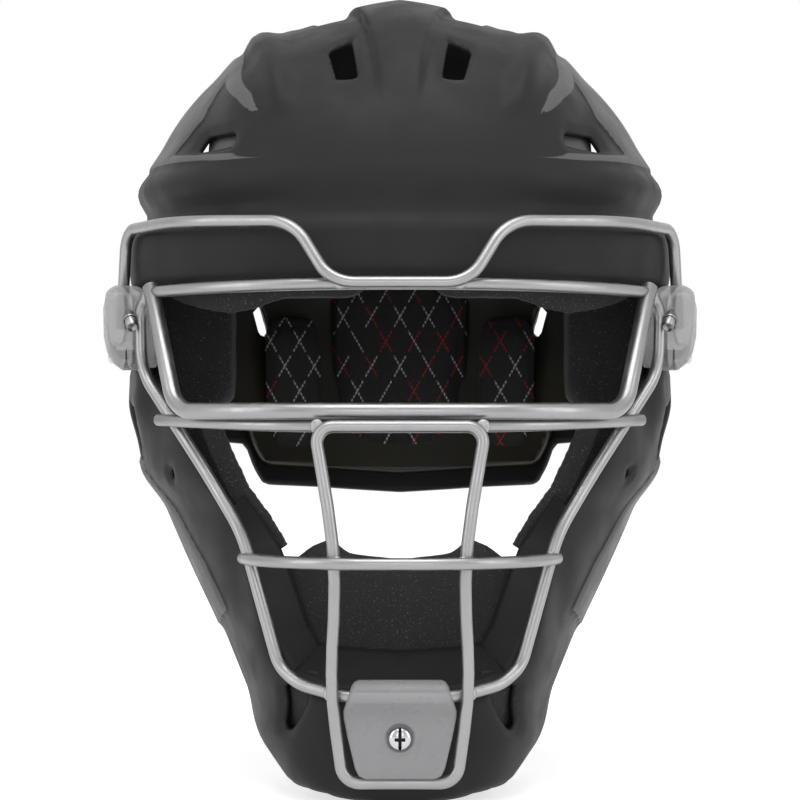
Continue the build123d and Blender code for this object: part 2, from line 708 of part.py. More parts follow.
# Pads
chin_pad_shares = ((0.0, -0.420, 0.0), (0.19, -0.405, 0.4), (0.24, -0.370, 0.4), (0.30, -0.385, 0.4),
                   (0.405, -0.440, 0.8), (0.400, -0.62, 1.0), (0.320, -0.790, 1.2), (0.0, -0.86, 0.0))
pad_depth_shares = ((-0.9, 0.94), (0.0, 1.0), (0.45, 0.985), (0.8, 0.92), (1.0, 0.74))


def cushion(centre, inward, up, wide, high, deep, wall=shell_wall):
    """Pad on the wall's inner side: drawn in towards its edges, crowned, and shaped to the wall behind it."""
    inward = inward.normalized()
    across = up.cross(inward).normalized()
    start = centre + inward * (wall + pad_gap)
    sections = []
    for depth_share, share in pad_depth_shares:
        plane = Plane(origin=start + inward * (depth_share * deep), x_dir=across, z_dir=inward)
        sections.append((plane * RectangleRounded(wide * share, high * share, min(wide, high) * 0.2)).wire())
    return Solid.make_loft(sections) & hull(wall + pad_gap)


def brow_pad():
    point = skin_point(brow_pad_side, brow_pad_height)
    inward = -outward(point) - Vector(0, 0, brow_pad_tip)
    return cushion(point, inward, Vector(0, 0, 1), brow_pad_wide, brow_pad_high, brow_pad_deep,
                   shell_wall + channel_backing)


def temple_pad():
    point = skin_side(-temple_pad_forward, temple_pad_height)
    return cushion(point, Vector(-1, 0, 0), Vector(0, 0, 1), temple_pad_wide, temple_pad_high, temple_pad_deep)


def jaw_pad():
    point = skin_side(-jaw_pad_forward, -jaw_pad_drop)
    inward = -outward(point)
    inward = Vector(inward.X, 0, inward.Z)
    return cushion(point, inward, Vector(0, 0, 1), jaw_pad_wide, jaw_pad_high, jaw_pad_deep)


def crown_pad():
    point = Vector(0, -crown_pad_forward, crown_height)
    return cushion(point, Vector(0, 0, -1), Vector(0, 1, 0), crown_pad_wide, crown_pad_long, crown_pad_deep)


def side_crown_pad():
    point = skin_side(0, side_crown_pad_height)
    inward = -outward(point)
    return cushion(point, inward, Vector(inward.Z, 0, -inward.X), side_crown_pad_wide, side_crown_pad_long,
                   crown_pad_deep)


def rear_pad():
    point = skin_point(0, rear_pad_height, rear=True)
    inward = -outward(point, rear=True)
    pad = cushion(point, inward, Vector(1, 0, 0).cross(inward), rear_pad_wide, rear_pad_high, crown_pad_deep)
    return pad - wall_hole(rivet_places(True)[0], 1, rivet_head)


def chin_pad():
    """Chin cup: it rests against the back of the lip and its inner face is hollowed for the chin."""
    front = lip_back - pad_gap
    points, radii = mirrored(scaled(chin_pad_shares, half_width, chin_drop, trim_corner))
    body = prism(front_view, points, radii, front - chin_pad_deep, front)
    cup = Pos(0, -front + chin_pad_deep + chin_cup_centre, -chin_cup_drop) * Sphere(chin_cup)
    return (body - cup) & hull(shell_wall + pad_gap)


# Rear plate
plate_low_shares = ((0.0, -0.295, 0.0), (0.574, -0.269, 0.6), (0.611, -0.218, 0.3), (0.648, -0.154, 0.3),
                    (0.815, -0.141, 0.6), (1.20, -0.141, 0.0))


def plate_region(margin=0.0):
    """Behind the shell's rear edge, over the plate's lower edge, drawn in by a margin."""
    rows = trim_rows(plate_gap + margin)[:5]
    rows[0] = (rows[0][0], rows[0][1] - margin, 0.0)
    rows[1] = (rows[1][0], rows[1][1] - margin, rows[1][2])
    rows[-1] = (rows[-1][0], rows[-1][1], 0.0)
    rows += [(rows[-1][0], -jaw_depth, 0.0), (rows[0][0], -jaw_depth, 0.0)]
    side = prism(side_view, flat_points(rows), [row[2] for row in rows], -overrun, overrun)
    rows = [(x, z + margin, r) for x, z, r in scaled(plate_low_shares, half_width, crown_height, trim_corner)]
    rows.append((rows[-1][0], overrun, 0.0))
    points, radii = mirrored(rows)
    return side & prism(front_view, points, radii, -overrun, 0)


def plate_slots(grow=0.0):
    """The two slots through the plate and its foam that let air to the neck."""
    cuts = []
    for side in (1, -1):
        slot = SlotOverall(plate_slot_long + grow, plate_slot_wide + grow, 90 - plate_slot_tilt * side)
        plane = Plane(origin=(side * plate_slot_side, 0, plate_slot_height), x_dir=(1, 0, 0), z_dir=(0, -1, 0))
        cuts.append(extrude(plane * slot, amount=-overrun))
    return cuts


def rear_plate():
    plate = (hull(plate_inset) - hull(plate_inset + plate_wall)) & plate_region()
    holes = [wall_hole(point, 1, rivet_shank + screw_fit) for point in rivet_places(False)]
    return plate - [*plate_slots(), *holes]


def plate_foam_sheet():
    outer = plate_inset + plate_wall + pad_gap
    sheet = (hull(outer) - hull(outer + plate_foam)) & plate_region(plate_foam_margin)
    holes = [wall_hole(point, 1, rivet_head) for point in rivet_places(False)]
    return sheet - [*plate_slots(2 * seat_gap), *holes]


def rear_cushion(x, wide, high, level):
    wall = plate_inset + plate_wall + pad_gap + plate_foam
    point = skin_point(x, level, rear=True)
    inward = -outward(point, rear=True)
    return cushion(point, Vector(inward.X, inward.Y, 0), Vector(0, 0, 1), wide, high, rear_pad_deep, wall)


# Straps: webbing that lies on the shell and the rear plate and bridges the gap between them
def strap_layer():
    return hull(-seat_gap - strap_thick) - hull(-seat_gap)


def strap_line(on_shell):
    """Side-view places of a side strap's ends: across the gap, square to the shell's edge."""
    rows = trim_rows(plate_gap / 2)
    a, b = Vector(rows[2][0], rows[2][1], 0), Vector(rows[1][0], rows[1][1], 0)
    middle = a + (b - a) * side_strap_place_share
    square = Vector((b - a).Y, -(b - a).X, 0).normalized()
    reach = strap_reach * (-1 if on_shell else side_strap_share)
    return middle + square * reach, square


def rivet_places(on_shell):
    """Where the strap rivets pass through the skin: top, left and right."""
    place, _ = strap_line(on_shell)
    side = skin_side(place.X, place.Y)
    top_level = trim_rows()[1][1] + (top_rivet_above if on_shell else -top_rivet_below)
    return [skin_point(0, top_level, rear=True), side, mirror_point(side, -1)]


def top_strap():
    points = rivet_places(True)[0], rivet_places(False)[0]
    high, low = points[0].Z + strap_width / 2, points[1].Z - strap_width / 2
    rows = [(strap_width / 2, low, strap_width / 4), (strap_width / 2, high, strap_width / 4)]
    rows, radii = mirrored(rows)
    return (strap_layer() & prism(front_view, rows, radii, -overrun, 0)) - strap_holes()


def side_strap():
    start, square = strap_line(True)
    end, _ = strap_line(False)
    across = Vector(-square.Y, square.X, 0) * (strap_width / 2)
    start, end = start - square * (strap_width / 2), end + square * (strap_width * side_strap_share / 3)
    rows = [tuple(p)[:2] for p in (start + across, end + across, end - across, start - across)]
    return (strap_layer() & prism(side_view, rows, strap_width / 4, 0, overrun)) - strap_holes()


def strap_holes():
    places = rivet_places(True) + rivet_places(False)
    return [wall_hole(point, 1, rivet_shank + screw_fit) for point in places]


def rivet(point, wall, inset):
    """Domed rivet with a washer inside the wall."""
    washer, shank, top = rivet_washer / 2, rivet_shank / 2, 3 * seat_gap + strap_thick
    low = -inset - wall - 2 * seat_gap
    rows = [(0, low - nut_plate), (washer, low - nut_plate), (washer, low), (shank, low), (shank, top)]
    rows += [(r * rivet_head / 2, top + h * rivet_rise) for r, h in dome_shares]
    return on_skin(point) * spun(rows)


def rivets(on_shell):
    wall, inset = (shell_wall, 0.0) if on_shell else (plate_wall, plate_inset)
    return Compound(children=[rivet(point, wall, inset) for point in rivet_places(on_shell)])


def pair(shape):
    return Compound(children=list(both_sides(shape)))


def left_right(name, shape):
    left, right = both_sides(shape)
    return {name + "_left": left, name + "_right": right}


def assembly():
    """Every sub-part by name, each in its place at rest."""
    side_screw = on_skin(side_screw_places()[0][0])
    chin_screw = on_skin(chin_screw_place())
    chin_seat = chin_clip_plate + seat_gap
    side_nape = rear_cushion(side_nape_side, side_nape_wide, side_nape_high, side_nape_height)
    parts = {
        "brow_wire": brow_wire(),
        "eye_port_bar": port_frame(),
        "eye_top_bar": bent_wire([top_bar_middle, top_bar_bend, top_bar_end], (0.88,), wire) - port_frame(),
        "cheek_bar": cheek_bar(),
        "jaw_wire": jaw_wire() - port_frame(),
        "centre_loop": centre_loop(),
        "mouth_bar": mouth_bar(),
        "cage_studs": pair(cage_stud()),
        **left_right("side_clip", side_clip()),
        "side_clip_screws": pair(side_screw * clip_screw(clip_seat() + seat_gap)),
        "side_clip_nuts": pair(side_screw * tee_nut()),
        "chin_clip": chin_clip(),
        "chin_clip_screw": chin_screw * clip_screw(chin_seat),
        "chin_clip_nut": chin_screw * tee_nut(),
        **left_right("brow_pad", brow_pad()),
        **left_right("temple_pad", temple_pad()),
        **left_right("jaw_pad", jaw_pad()),
        "chin_pad": chin_pad(),
        "crown_pad": crown_pad(),
        **left_right("side_crown_pad", side_crown_pad()),
        "rear_pad": rear_pad(),
        "rear_plate": rear_plate(),
        "rear_plate_foam": plate_foam_sheet(),
        "nape_pad": rear_cushion(0, nape_pad_wide, nape_pad_high, nape_pad_height),
        **left_right("side_nape_pad", side_nape),
        "top_strap": top_strap(),
        **left_right("side_strap", side_strap()),
        "shell_strap_rivets": rivets(True),
        "plate_strap_rivets": rivets(False),
    }
    return parts


def write_parts():
    os.makedirs("parts", exist_ok=True)
    for name, shape in assembly().items():
        export_step(shape, "parts/" + name + ".step")
    export_step(main_shell(), "parts/main_shell.step")


write_parts()
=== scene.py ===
import math

import bpy
import numpy as np
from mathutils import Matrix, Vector


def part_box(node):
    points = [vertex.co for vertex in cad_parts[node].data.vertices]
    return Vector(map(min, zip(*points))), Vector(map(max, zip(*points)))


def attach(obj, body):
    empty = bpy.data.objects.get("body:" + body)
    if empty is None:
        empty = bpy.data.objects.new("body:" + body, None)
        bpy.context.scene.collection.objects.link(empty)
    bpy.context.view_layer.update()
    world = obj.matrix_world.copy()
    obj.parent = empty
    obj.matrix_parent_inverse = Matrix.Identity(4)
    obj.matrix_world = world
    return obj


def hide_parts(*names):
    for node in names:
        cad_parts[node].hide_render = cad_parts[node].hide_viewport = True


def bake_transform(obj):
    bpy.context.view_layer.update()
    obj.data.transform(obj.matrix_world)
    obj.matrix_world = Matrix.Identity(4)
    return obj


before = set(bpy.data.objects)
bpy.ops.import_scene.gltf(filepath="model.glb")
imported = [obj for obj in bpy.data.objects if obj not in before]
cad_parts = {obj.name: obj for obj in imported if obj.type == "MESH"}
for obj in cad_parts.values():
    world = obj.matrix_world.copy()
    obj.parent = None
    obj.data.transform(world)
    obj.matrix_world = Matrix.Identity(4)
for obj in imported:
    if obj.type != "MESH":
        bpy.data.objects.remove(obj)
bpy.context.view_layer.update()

# The skin that the shell, the plate, the straps and the pads follow, in metres
HALF_WIDTH = 0.108
CROWN = 0.156
SPRING = 0.060
JAW_DEPTH = 0.165
FRONT_REACH = 0.129
BACK_REACH = 0.118
FRONT_POWER = 2.5
BACK_POWER = 2.3
DOME_POWER = 2.2
JAW_SHARES = np.array((
    (0.000, 1.000, 1.000, 1.000, 0.023),
    (0.089, 0.991, 1.023, 1.008, 0.023),
    (0.222, 0.977, 1.054, 0.983, 0.023),
    (0.364, 0.986, 1.093, 0.915, 0.062),
    (0.489, 0.875, 1.147, 0.822, 0.194),
    (0.667, 0.685, 1.209, 0.678, 0.388),
    (0.800, 0.528, 1.233, 0.593, 0.527),
    (0.889, 0.421, 1.217, 0.540, 0.590),
    (1.000, 0.278, 1.163, 0.480, 0.659)))

WALL = 0.0035
BAND_TOP, BAND_BOTTOM, BAND_RAISE, BAND_END = 0.064, 0.038, 0.003, 0.056
OPENING_TOP, OPENING_FLOOR, CHIN_DROP = 0.042, 0.1135, 0.152
TRIM_CORNER, VENT_CORNER = 0.010, 0.0015
SNAP_HOLE, SNAP_FORWARD, SNAP_DROP = 0.0046, 0.0965, 0.0326

# The photograph's viewpoint
CAMERA_DISTANCE = 1.2
CAMERA_HEIGHT = -0.004
FOCAL_PX = 2872.0
FRAME_PX = 800.0
SENSOR_MM = 36.0


# Shapes as arrays

def smooth(value, start, end):
    """0 up to the start, 1 from the end, an S-curve 3t^2 - 2t^3 between; with its ends swapped, it falls."""
    t = np.clip((value - start) / (end - start), 0.0, 1.0)
    return t * t * (3 - 2 * t)


def swell(p, height, *ramps):
    """A height times an S-curve ramp along |x|, y or z (0, 1, 2) for each (axis, start, end)."""
    total = height
    for axis, start, end in ramps:
        total = total * smooth(np.abs(p[..., 0]) if axis == 0 else p[..., axis], start, end)
    return total


def jaw_share(drop, column):
    """A column of the jaw table at drops: cubic pieces with harmonic mean slopes, so it never overshoots."""
    rows, values = JAW_SHARES[:, 0], JAW_SHARES[:, column]
    slopes = np.diff(values) / np.diff(rows)
    a, b = slopes[:-1], slopes[1:]
    inner = np.where(a * b > 0, 2 * a * b / np.where(a + b == 0, 1, a + b), 0.0)
    tangents = np.concatenate(([0.0], inner, [slopes[-1]]))
    k = np.clip(np.searchsorted(rows, drop, side="right") - 1, 0, len(rows) - 2)
    step = rows[k + 1] - rows[k]
    t = (drop - rows[k]) / step
    return ((2 * t**3 - 3 * t**2 + 1) * values[k] + (t**3 - 2 * t**2 + t) * step * tangents[k]
            + (3 * t**2 - 2 * t**3) * values[k + 1] + (t**3 - t**2) * step * tangents[k + 1])


def skin_level(z, inset=0.0):
    """Half width, front end, back end and centre of the skin's plan section at heights z."""
    z = np.asarray(z, float)
    drop = np.maximum(SPRING - z, 0.0) / (SPRING + JAW_DEPTH)
    h = np.clip((z - SPRING) / (CROWN - inset - SPRING), 0.0, 1.0)
    wide = np.sqrt(1 - h**2)
    long = (1 - h**DOME_POWER)**(1 / DOME_POWER)
    centre = -jaw_share(drop, 4) * FRONT_REACH
    half = (jaw_share(drop, 1) * HALF_WIDTH - inset) * wide
    front = centre - (jaw_share(drop, 2) * FRONT_REACH - inset + centre) * long
    back = centre + (jaw_share(drop, 3) * BACK_REACH - inset - centre) * long
    return half, front, back, centre


def skin(turn, z, inset=0.0):
    """Skin points: at each height a superellipse in polar form, r = (|cos|^p + |sin|^p)^(-1/p), p by half."""
    half, front, back, centre = skin_level(z, inset)
    c, s = np.cos(turn), np.sin(turn)
    power = np.where(s > 0, BACK_POWER, FRONT_POWER)
    r = (np.abs(c)**power + np.abs(s)**power)**(-1 / power)
    reach = np.where(s > 0, back - centre, centre - front)
    return np.stack((half * c * r, centre + reach * s * r, z + 0 * turn), -1)


def skin_xz(x, z, rear=False, inset=0.0):
    """Skin points at given x and z, on the front or the rear half."""
    half, front, back, centre = skin_level(z, inset)
    power = BACK_POWER if rear else FRONT_POWER
    share = (1 - np.minimum(np.abs(x) / half, 1.0)**power)**(1 / power)
    reach = (back if rear else front) - centre
    return np.stack((x + 0 * share, centre + reach * share, z + 0 * share), -1)


def skin_yz(y, z, inset=0.0):
    """Skin points on the wearer's left at given y and z."""
    half, front, back, centre = skin_level(z, inset)
    power = np.where(y > centre, BACK_POWER, FRONT_POWER)
    reach = np.where(y > centre, back, front) - centre
    share = (1 - np.minimum(np.abs((y - centre) / reach), 1.0)**power)**(1 / power)
    return np.stack((half * share, y + 0 * share, z + 0 * share), -1)


def rounded(points, radii, steps=5):
    """A closed outline whose corners are arcs: each arc is tangent to both sides of its corner."""
    out = []
    n = len(points)
    points = [np.array(p, float) for p in points]
    for k in range(n):
        p, a, b = points[k], points[k - 1], points[(k + 1) % n]
        r = radii[k] if np.ndim(radii) else radii
        u, v = (a - p) / np.linalg.norm(a - p), (b - p) / np.linalg.norm(b - p)
        half = math.acos(np.clip(u @ v, -1, 1)) / 2
        if r <= 0 or half > math.radians(89):
            out.append(p)
            continue
        reach = min(r / math.tan(half), np.linalg.norm(a - p) * 0.49, np.linalg.norm(b - p) * 0.49)
        r = reach * math.tan(half)
        middle = p + (u + v) / np.linalg.norm(u + v) * (r / math.sin(half))
        start, end = p + u * reach - middle, p + v * reach - middle
        sweep = math.acos(np.clip(start @ end / r**2, -1, 1))
        for t in np.linspace(0, 1, steps):
            on = start * math.sin((1 - t) * sweep) + end * math.sin(t * sweep)
            out.append(middle + on / math.sin(sweep))
    return np.array(out)


def inside(px, py, outline):
    """Signed distance to a closed outline, positive inside: nearest side, and an even-odd crossing count."""
    a = outline
    b = np.roll(outline, -1, axis=0)
    best = np.full(px.shape, np.inf)
    odd = np.zeros(px.shape, bool)
    for (ax, ay), (bx, by) in zip(a, b):
        ex, ey = bx - ax, by - ay
        t = np.clip(((px - ax) * ex + (py - ay) * ey) / (ex * ex + ey * ey + 1e-18), 0, 1)
        best = np.minimum(best, (px - ax - t * ex)**2 + (py - ay - t * ey)**2)
        crosses = (ay > py) != (by > py)
        if ey != 0:
            odd ^= crosses & (px < (py - ay) / ey * ex + ax)
    return np.where(odd, 1, -1) * np.sqrt(best)


def rounded_rows(rows):
    """A closed outline from rows of two coordinates and a corner radius."""
    return rounded([r[:2] for r in rows], [r[2] for r in rows])


def both(rows):
    """Rows of the right half with their mirror image."""
    return rows + [(-r[0], *r[1:]) for r in reversed(rows) if r[0] != 0]


def lengths(rows, across, up):
    """Outline rows in shares turned into lengths, their corners from shares of the trim's."""
    return [(r[0] * across, r[1] * up, r[2] * TRIM_CORNER) for r in rows]


def plain_outline(rows, across, up, corner=0.0):
    """A closed outline from rows of two shares, with one corner radius."""
    return rounded([(a * across, b * up) for a, b in rows], corner)


def at_rows(t, rows):
    """Rows of a table read at places along it, each column by straight pieces."""
    return np.stack([np.interp(t, range(len(rows)), rows[:, k]) for k in range(rows.shape[1])], 1)


def grid_faces(rows, columns, close_u=False, close_v=False):
    """Quads of a grid of rows by columns, wrapped round in either direction if asked."""
    i = np.arange(rows if close_u else rows - 1)
    j = np.arange(columns if close_v else columns - 1)
    i, j = np.meshgrid(i, j, indexing="ij")
    a = (i * columns + j).ravel()
    b = (i * columns + (j + 1) % columns).ravel()
    c = (((i + 1) % rows) * columns + (j + 1) % columns).ravel()
    d = (((i + 1) % rows) * columns + j).ravel()
    return np.stack((a, b, c, d), 1)


def triangles_of(quads):
    """Each quad as two triangles."""
    return np.concatenate((quads[:, [0, 1, 2]], quads[:, [0, 2, 3]]))


def clipped(points, triangles, field, extra):
    """The part of a mesh where the field is positive, cut along its zero line, with extra columns carried."""
    sign = field > 0
    count = sign[triangles].sum(1)
    keep = triangles[count == 3]
    cut_edges, new_tris = [], []
    one, two = triangles[count == 1], triangles[count == 2]
    for tris, alone in ((one, True), (two, False)):
        mark = sign[tris] if alone else ~sign[tris]
        k = np.argmax(mark, 1)
        r = np.arange(len(tris))
        a, b, c = tris[r, k], tris[r, (k + 1) % 3], tris[r, (k + 2) % 3]
        new_tris.append((a, b, c, alone))
        cut_edges += [np.stack((a, b), 1), np.stack((a, c), 1)]
    edges = np.sort(np.concatenate(cut_edges), 1)
    unique, where = np.unique(edges, axis=0, return_inverse=True)
    where = where.ravel()
    fa, fb = field[unique[:, 0]], field[unique[:, 1]]
    t = np.clip(fa / (fa - fb), 0.02, 0.98)[:, None]
    made = points[unique[:, 0]] * (1 - t) + points[unique[:, 1]] * t
    made_extra = extra[unique[:, 0]] * (1 - t) + extra[unique[:, 1]] * t
    n = len(points)
    at = 0
    faces = [keep]
    for a, b, c, alone in new_tris:
        ab, ac = np.split(n + where[at:at + 2 * len(a)], 2)
        at += 2 * len(a)
        if alone:
            faces.append(np.stack((a, ab, ac), 1))
        else:
            faces += [np.stack((ab, b, c), 1), np.stack((ab, c, ac), 1)]
    faces = np.concatenate(faces)
    points, extra = np.concatenate((points, made)), np.concatenate((extra, made_extra))
    used, faces = np.unique(faces, return_inverse=True)
    return points[used], faces.reshape(-1, 3), extra[used]


def normals_of(points, faces):
    """Vertex normals: the sum of the areas' normals round each vertex, made unit length."""
    a, b, c = (points[faces[:, k]] for k in range(3))
    n = np.cross(b - a, c - a)
    total = np.zeros_like(points)
    for k in range(3):
        np.add.at(total, faces[:, k], n)
    return total / np.maximum(np.linalg.norm(total, axis=1, keepdims=True), 1e-12)


def volume(points, faces):
    """Volume of a closed mesh: a sixth of the sum of a . (b x c) over its triangles, positive facing out."""
    total = 0.0
    for k in range(1, faces.shape[1] - 1):
        a, b, c = (points[faces[:, j]] for j in (0, k, k + 1))
        total += np.einsum("ij,ij->", a, np.cross(b, c)) / 6
    return total


def new_piece(name, points, faces, material, closed=True):
    """A mesh object at the origin from arrays of points and faces; a closed one is turned to face out."""
    points, faces = np.asarray(points, float), np.asarray(faces)
    if closed and volume(points, faces) < 0:
        faces = faces[:, ::-1]
    mesh = bpy.data.meshes.new(name)
    mesh.vertices.add(len(points))
    mesh.vertices.foreach_set("co", points.astype(np.float32).ravel())
    mesh.loops.add(faces.size)
    mesh.loops.foreach_set("vertex_index", faces.astype(np.int32).ravel())
    mesh.polygons.add(len(faces))
    mesh.polygons.foreach_set("loop_start", np.arange(0, faces.size, faces.shape[1], dtype=np.int32))
    mesh.update(calc_edges=True)
    mesh.validate()
    mesh.polygons.foreach_set("use_smooth", np.full(len(mesh.polygons), closed))
    piece = bpy.data.objects.new(name, mesh)
    bpy.context.scene.collection.objects.link(piece)
    mesh.materials.append(material)
    return piece


def paint(piece, name, values):
    """A number on every vertex, read by the piece's material."""
    attribute = piece.data.attributes.new(name, "FLOAT", "POINT")
    attribute.data.foreach_set("value", np.asarray(values, np.float32))


# Outlines of the shell, in shares of the skin's sizes; a third number is a share of the trim's corner radius
OPENING_UPPER_SHARES = ((0.0, 1.0, 0.0), (0.898, 0.955, 0.55), (0.907, 0.19, 1.2))
OPENING_LOWER_SHARES = ((0.560, -0.458, 0.8), (0.525, -0.570, 0.8), (0.422, -0.890, 1.4),
                        (0.306, -0.978, 1.4), (0.0, -1.0, 0.0))
TRIM_SHARES = ((1.20, 0.647, 0.0), (0.930, 0.647, 0.6), (0.500, 0.154, 1.2), (0.441, -0.083, 0.6),
               (0.340, -0.151, 0.9), (0.050, -0.158, 0.9), (-0.085, -0.211, 0.9), (-0.610, -0.895, 0.0))
CHIN_SHARES = ((0.0, -1.0, 0.0), (0.22, -0.990, 1.0), (0.36, -0.950, 0.8), (0.43, -0.890, 0.6),
               (0.50, -0.840, 0.6), (0.56, -0.800, 0.0))
CREST_SHARES = ((0.060, -0.93), (0.200, -0.15), (0.200, 0.25), (0.150, 0.62), (-0.200, 0.66),
                (-0.200, -0.96))
SIDE_CREST_SHARES = ((0.470, -0.86), (0.560, -0.50), (0.600, -0.10), (0.570, 0.35), (0.460, 0.78),
                     (0.360, 0.78), (0.460, 0.30), (0.480, -0.10), (0.430, -0.50), (0.370, -0.86))
TOP_VENT_SHARES = (
    ((0.264, -0.678), (0.178, -0.636), (0.148, -0.827), (0.230, -0.809)),
    ((0.300, -0.400), (0.220, -0.380), (0.212, -0.150), (0.315, -0.160)),
    ((0.325, -0.030), (0.215, -0.050), (0.205, 0.180), (0.310, 0.200)))
FLANK_VENT_SHARES = ((0.755, 0.592), (0.716, 0.644), (0.593, 0.638), (0.586, 0.615), (0.600, 0.599))
REAR_VENT_SHARES = ((0.25, 0.760), (0.42, 0.690), (0.55, 0.600), (0.52, 0.560), (0.38, 0.630),
                    (0.22, 0.690))
JAW_VENT_SHARES = ((-0.480, -0.055), (-0.264, -0.025), (-0.295, -0.180), (-0.434, -0.205))
CHIN_VENT_SHARES = ((0.408, -0.708), (0.313, -0.739), (0.340, -0.802), (0.354, -0.824), (0.386, -0.824),
                    (0.398, -0.757))
FACE_OPENING_AHEAD, FLANK_VENT_AHEAD, CHIN_VENT_AHEAD = 0.2, 0.5, 1.03
EAR_SLOT_SHARES = (0.06, 0.13, 0.20)
EAR_SLOT_LONG, EAR_SLOT_WIDE, SLOT_LEAN = 0.020, 0.004, 75.0

# The jaw's inner return: place along the opening's edge, direction outwards, and shares of its rise and depth
LIP_SHARES = np.array((
    (0.000, -1.000, 0.00, -1.00, 1.0, 1.0),
    (0.240, -0.985, 0.08, -1.00, 1.0, 1.0),
    (0.375, -0.945, 0.70, -0.71, 1.0, 1.0),
    (0.440, -0.830, 0.94, -0.34, 1.0, 1.0),
    (0.528, -0.565, 0.94, -0.34, 0.95, 1.0),
    (0.600, -0.400, 0.85, -0.53, 0.40, 0.90)))
LIP_BACK, LIP_RISE = 0.125, 0.0125

# Pale inlays in the side view, in millimetres
FLANK_INLAY_MM = ((-107.5, 104.0), (-96, 113.7), (-68, 128.7), (-55, 133.5), (-10, 136), (32, 127),
                  (46, 104), (38, 88), (-58, 88.6), (-88, 88.3), (-108, 87.1), (-118.5, 87.6),
                  (-108, 89.8), (-88, 91.3), (-74, 92.2), (-79, 107), (-66, 123.5), (-92, 112.4),
                  (-102, 106.6))
JAW_INLAY_MM = ((-20, -26.5), (-41, -28.2), (-68.5, -34.7), (-77, -43), (-88, -51), (-104, -67.5),
                (-112.5, -84.2), (-116.5, -83), (-80, -93), (-54, -95))

# The shell's relief: the band, the channel and the ledge above it, the dome's crests, the inlays
SIDES = (0.030, 0.070)
BAND_EASE, BROW_EASE, BAND_STEP, BAND_FLAT = (-0.001, 0.002), 0.003, 0.0008, 0.72
CHANNEL = (0.0700, 0.0048, -0.0008, -0.0030)
LEDGE = (0.0800, 0.0055, 0.0006, 0.0014)
REAR_FADE = (0.070, 0.040)
CREST_RAISE, CREST_PEAK, CREST_HALF, CREST_SIDE = 0.0015, 0.0030, 0.024, (-0.0010, 0.0010)
CREST_RISE, CREST_LAST = (0.090, 0.128), (0.092, 0.146)
RIDGE_RAISE, RIDGE_SIDE, RIDGE_RISE = 0.0042, (-0.0025, 0.0060), (0.092, 0.124)
VALLEY = (-0.0010, (0, 0.017, 0.022), (0, 0.046, 0.040), (2, 0.108, 0.124))
INLAY_RAISE, INLAY_SIDE, INLAY_FROM, NO_INLAY = 0.0012, (-0.0008, 0.0014), 0.030, -0.02
EDGE_ROLL, EDGE_REACH = 0.0016, 0.0030

# Broad forms beyond the skin: a height, and the ramps that bound it
FLAT_FLANK = (-0.0026, (2, 0.082, 0.100), (2, 0.142, 0.124), (0, 0.058, 0.076))
SLIM_JAW = (-0.0026, (2, -0.032, -0.048), (2, -0.124, -0.086), (0, 0.050, 0.064))
CLIP_FLARE = (0.0052, (2, 0.016, 0.006), (2, -0.026, -0.004), (0, 0.090, 0.099), (1, 0.045, 0.015),
              (1, -0.088, -0.066))
FULL_BAND_END = (0.0025, (0, 0.084, 0.098), (2, 0.0375, 0.0420), (2, 0.066, 0.060), (1, -0.0552, -0.0568),
                 (1, -0.104, -0.084))
FULL_CHIN = (0.0050, (2, -0.113, -0.133), (0, 0.022, 0.038))
SHELL_LOW, SHELL_STEP, SHELL_COLUMNS = -0.1535, 0.00215, 350
BAND_LEVELS = (0.0372, 0.0378, 0.0384, 0.0392, 0.0632, 0.0640, 0.0648, 0.0656)


def side_outline():
    """The shell's rear and lower edge in the side view, closed far in front and above."""
    rows = lengths(TRIM_SHARES, BACK_REACH, CROWN)
    low = (rows[-1][0], rows[-1][1], 0)
    rows = rows[:-1] + [low, (low[0], -JAW_DEPTH, 0), (-2 * FRONT_REACH, -JAW_DEPTH, 0),
                        (-2 * FRONT_REACH, 2 * CROWN, 0), (rows[0][0], 2 * CROWN, 0)]
    return rounded_rows(rows)


def chin_outline():
    """The chin's lower edge in the front view, closed far above."""
    rows = lengths(CHIN_SHARES, HALF_WIDTH, CHIN_DROP)
    return rounded_rows(both(rows + [(2 * HALF_WIDTH, rows[-1][1], 0), (2 * HALF_WIDTH, 2 * CROWN, 0)]))


def opening_outline():
    """The face opening in the front view."""
    return rounded_rows(both(lengths(OPENING_UPPER_SHARES, HALF_WIDTH, OPENING_TOP)
                             + lengths(OPENING_LOWER_SHARES, HALF_WIDTH, OPENING_FLOOR)))


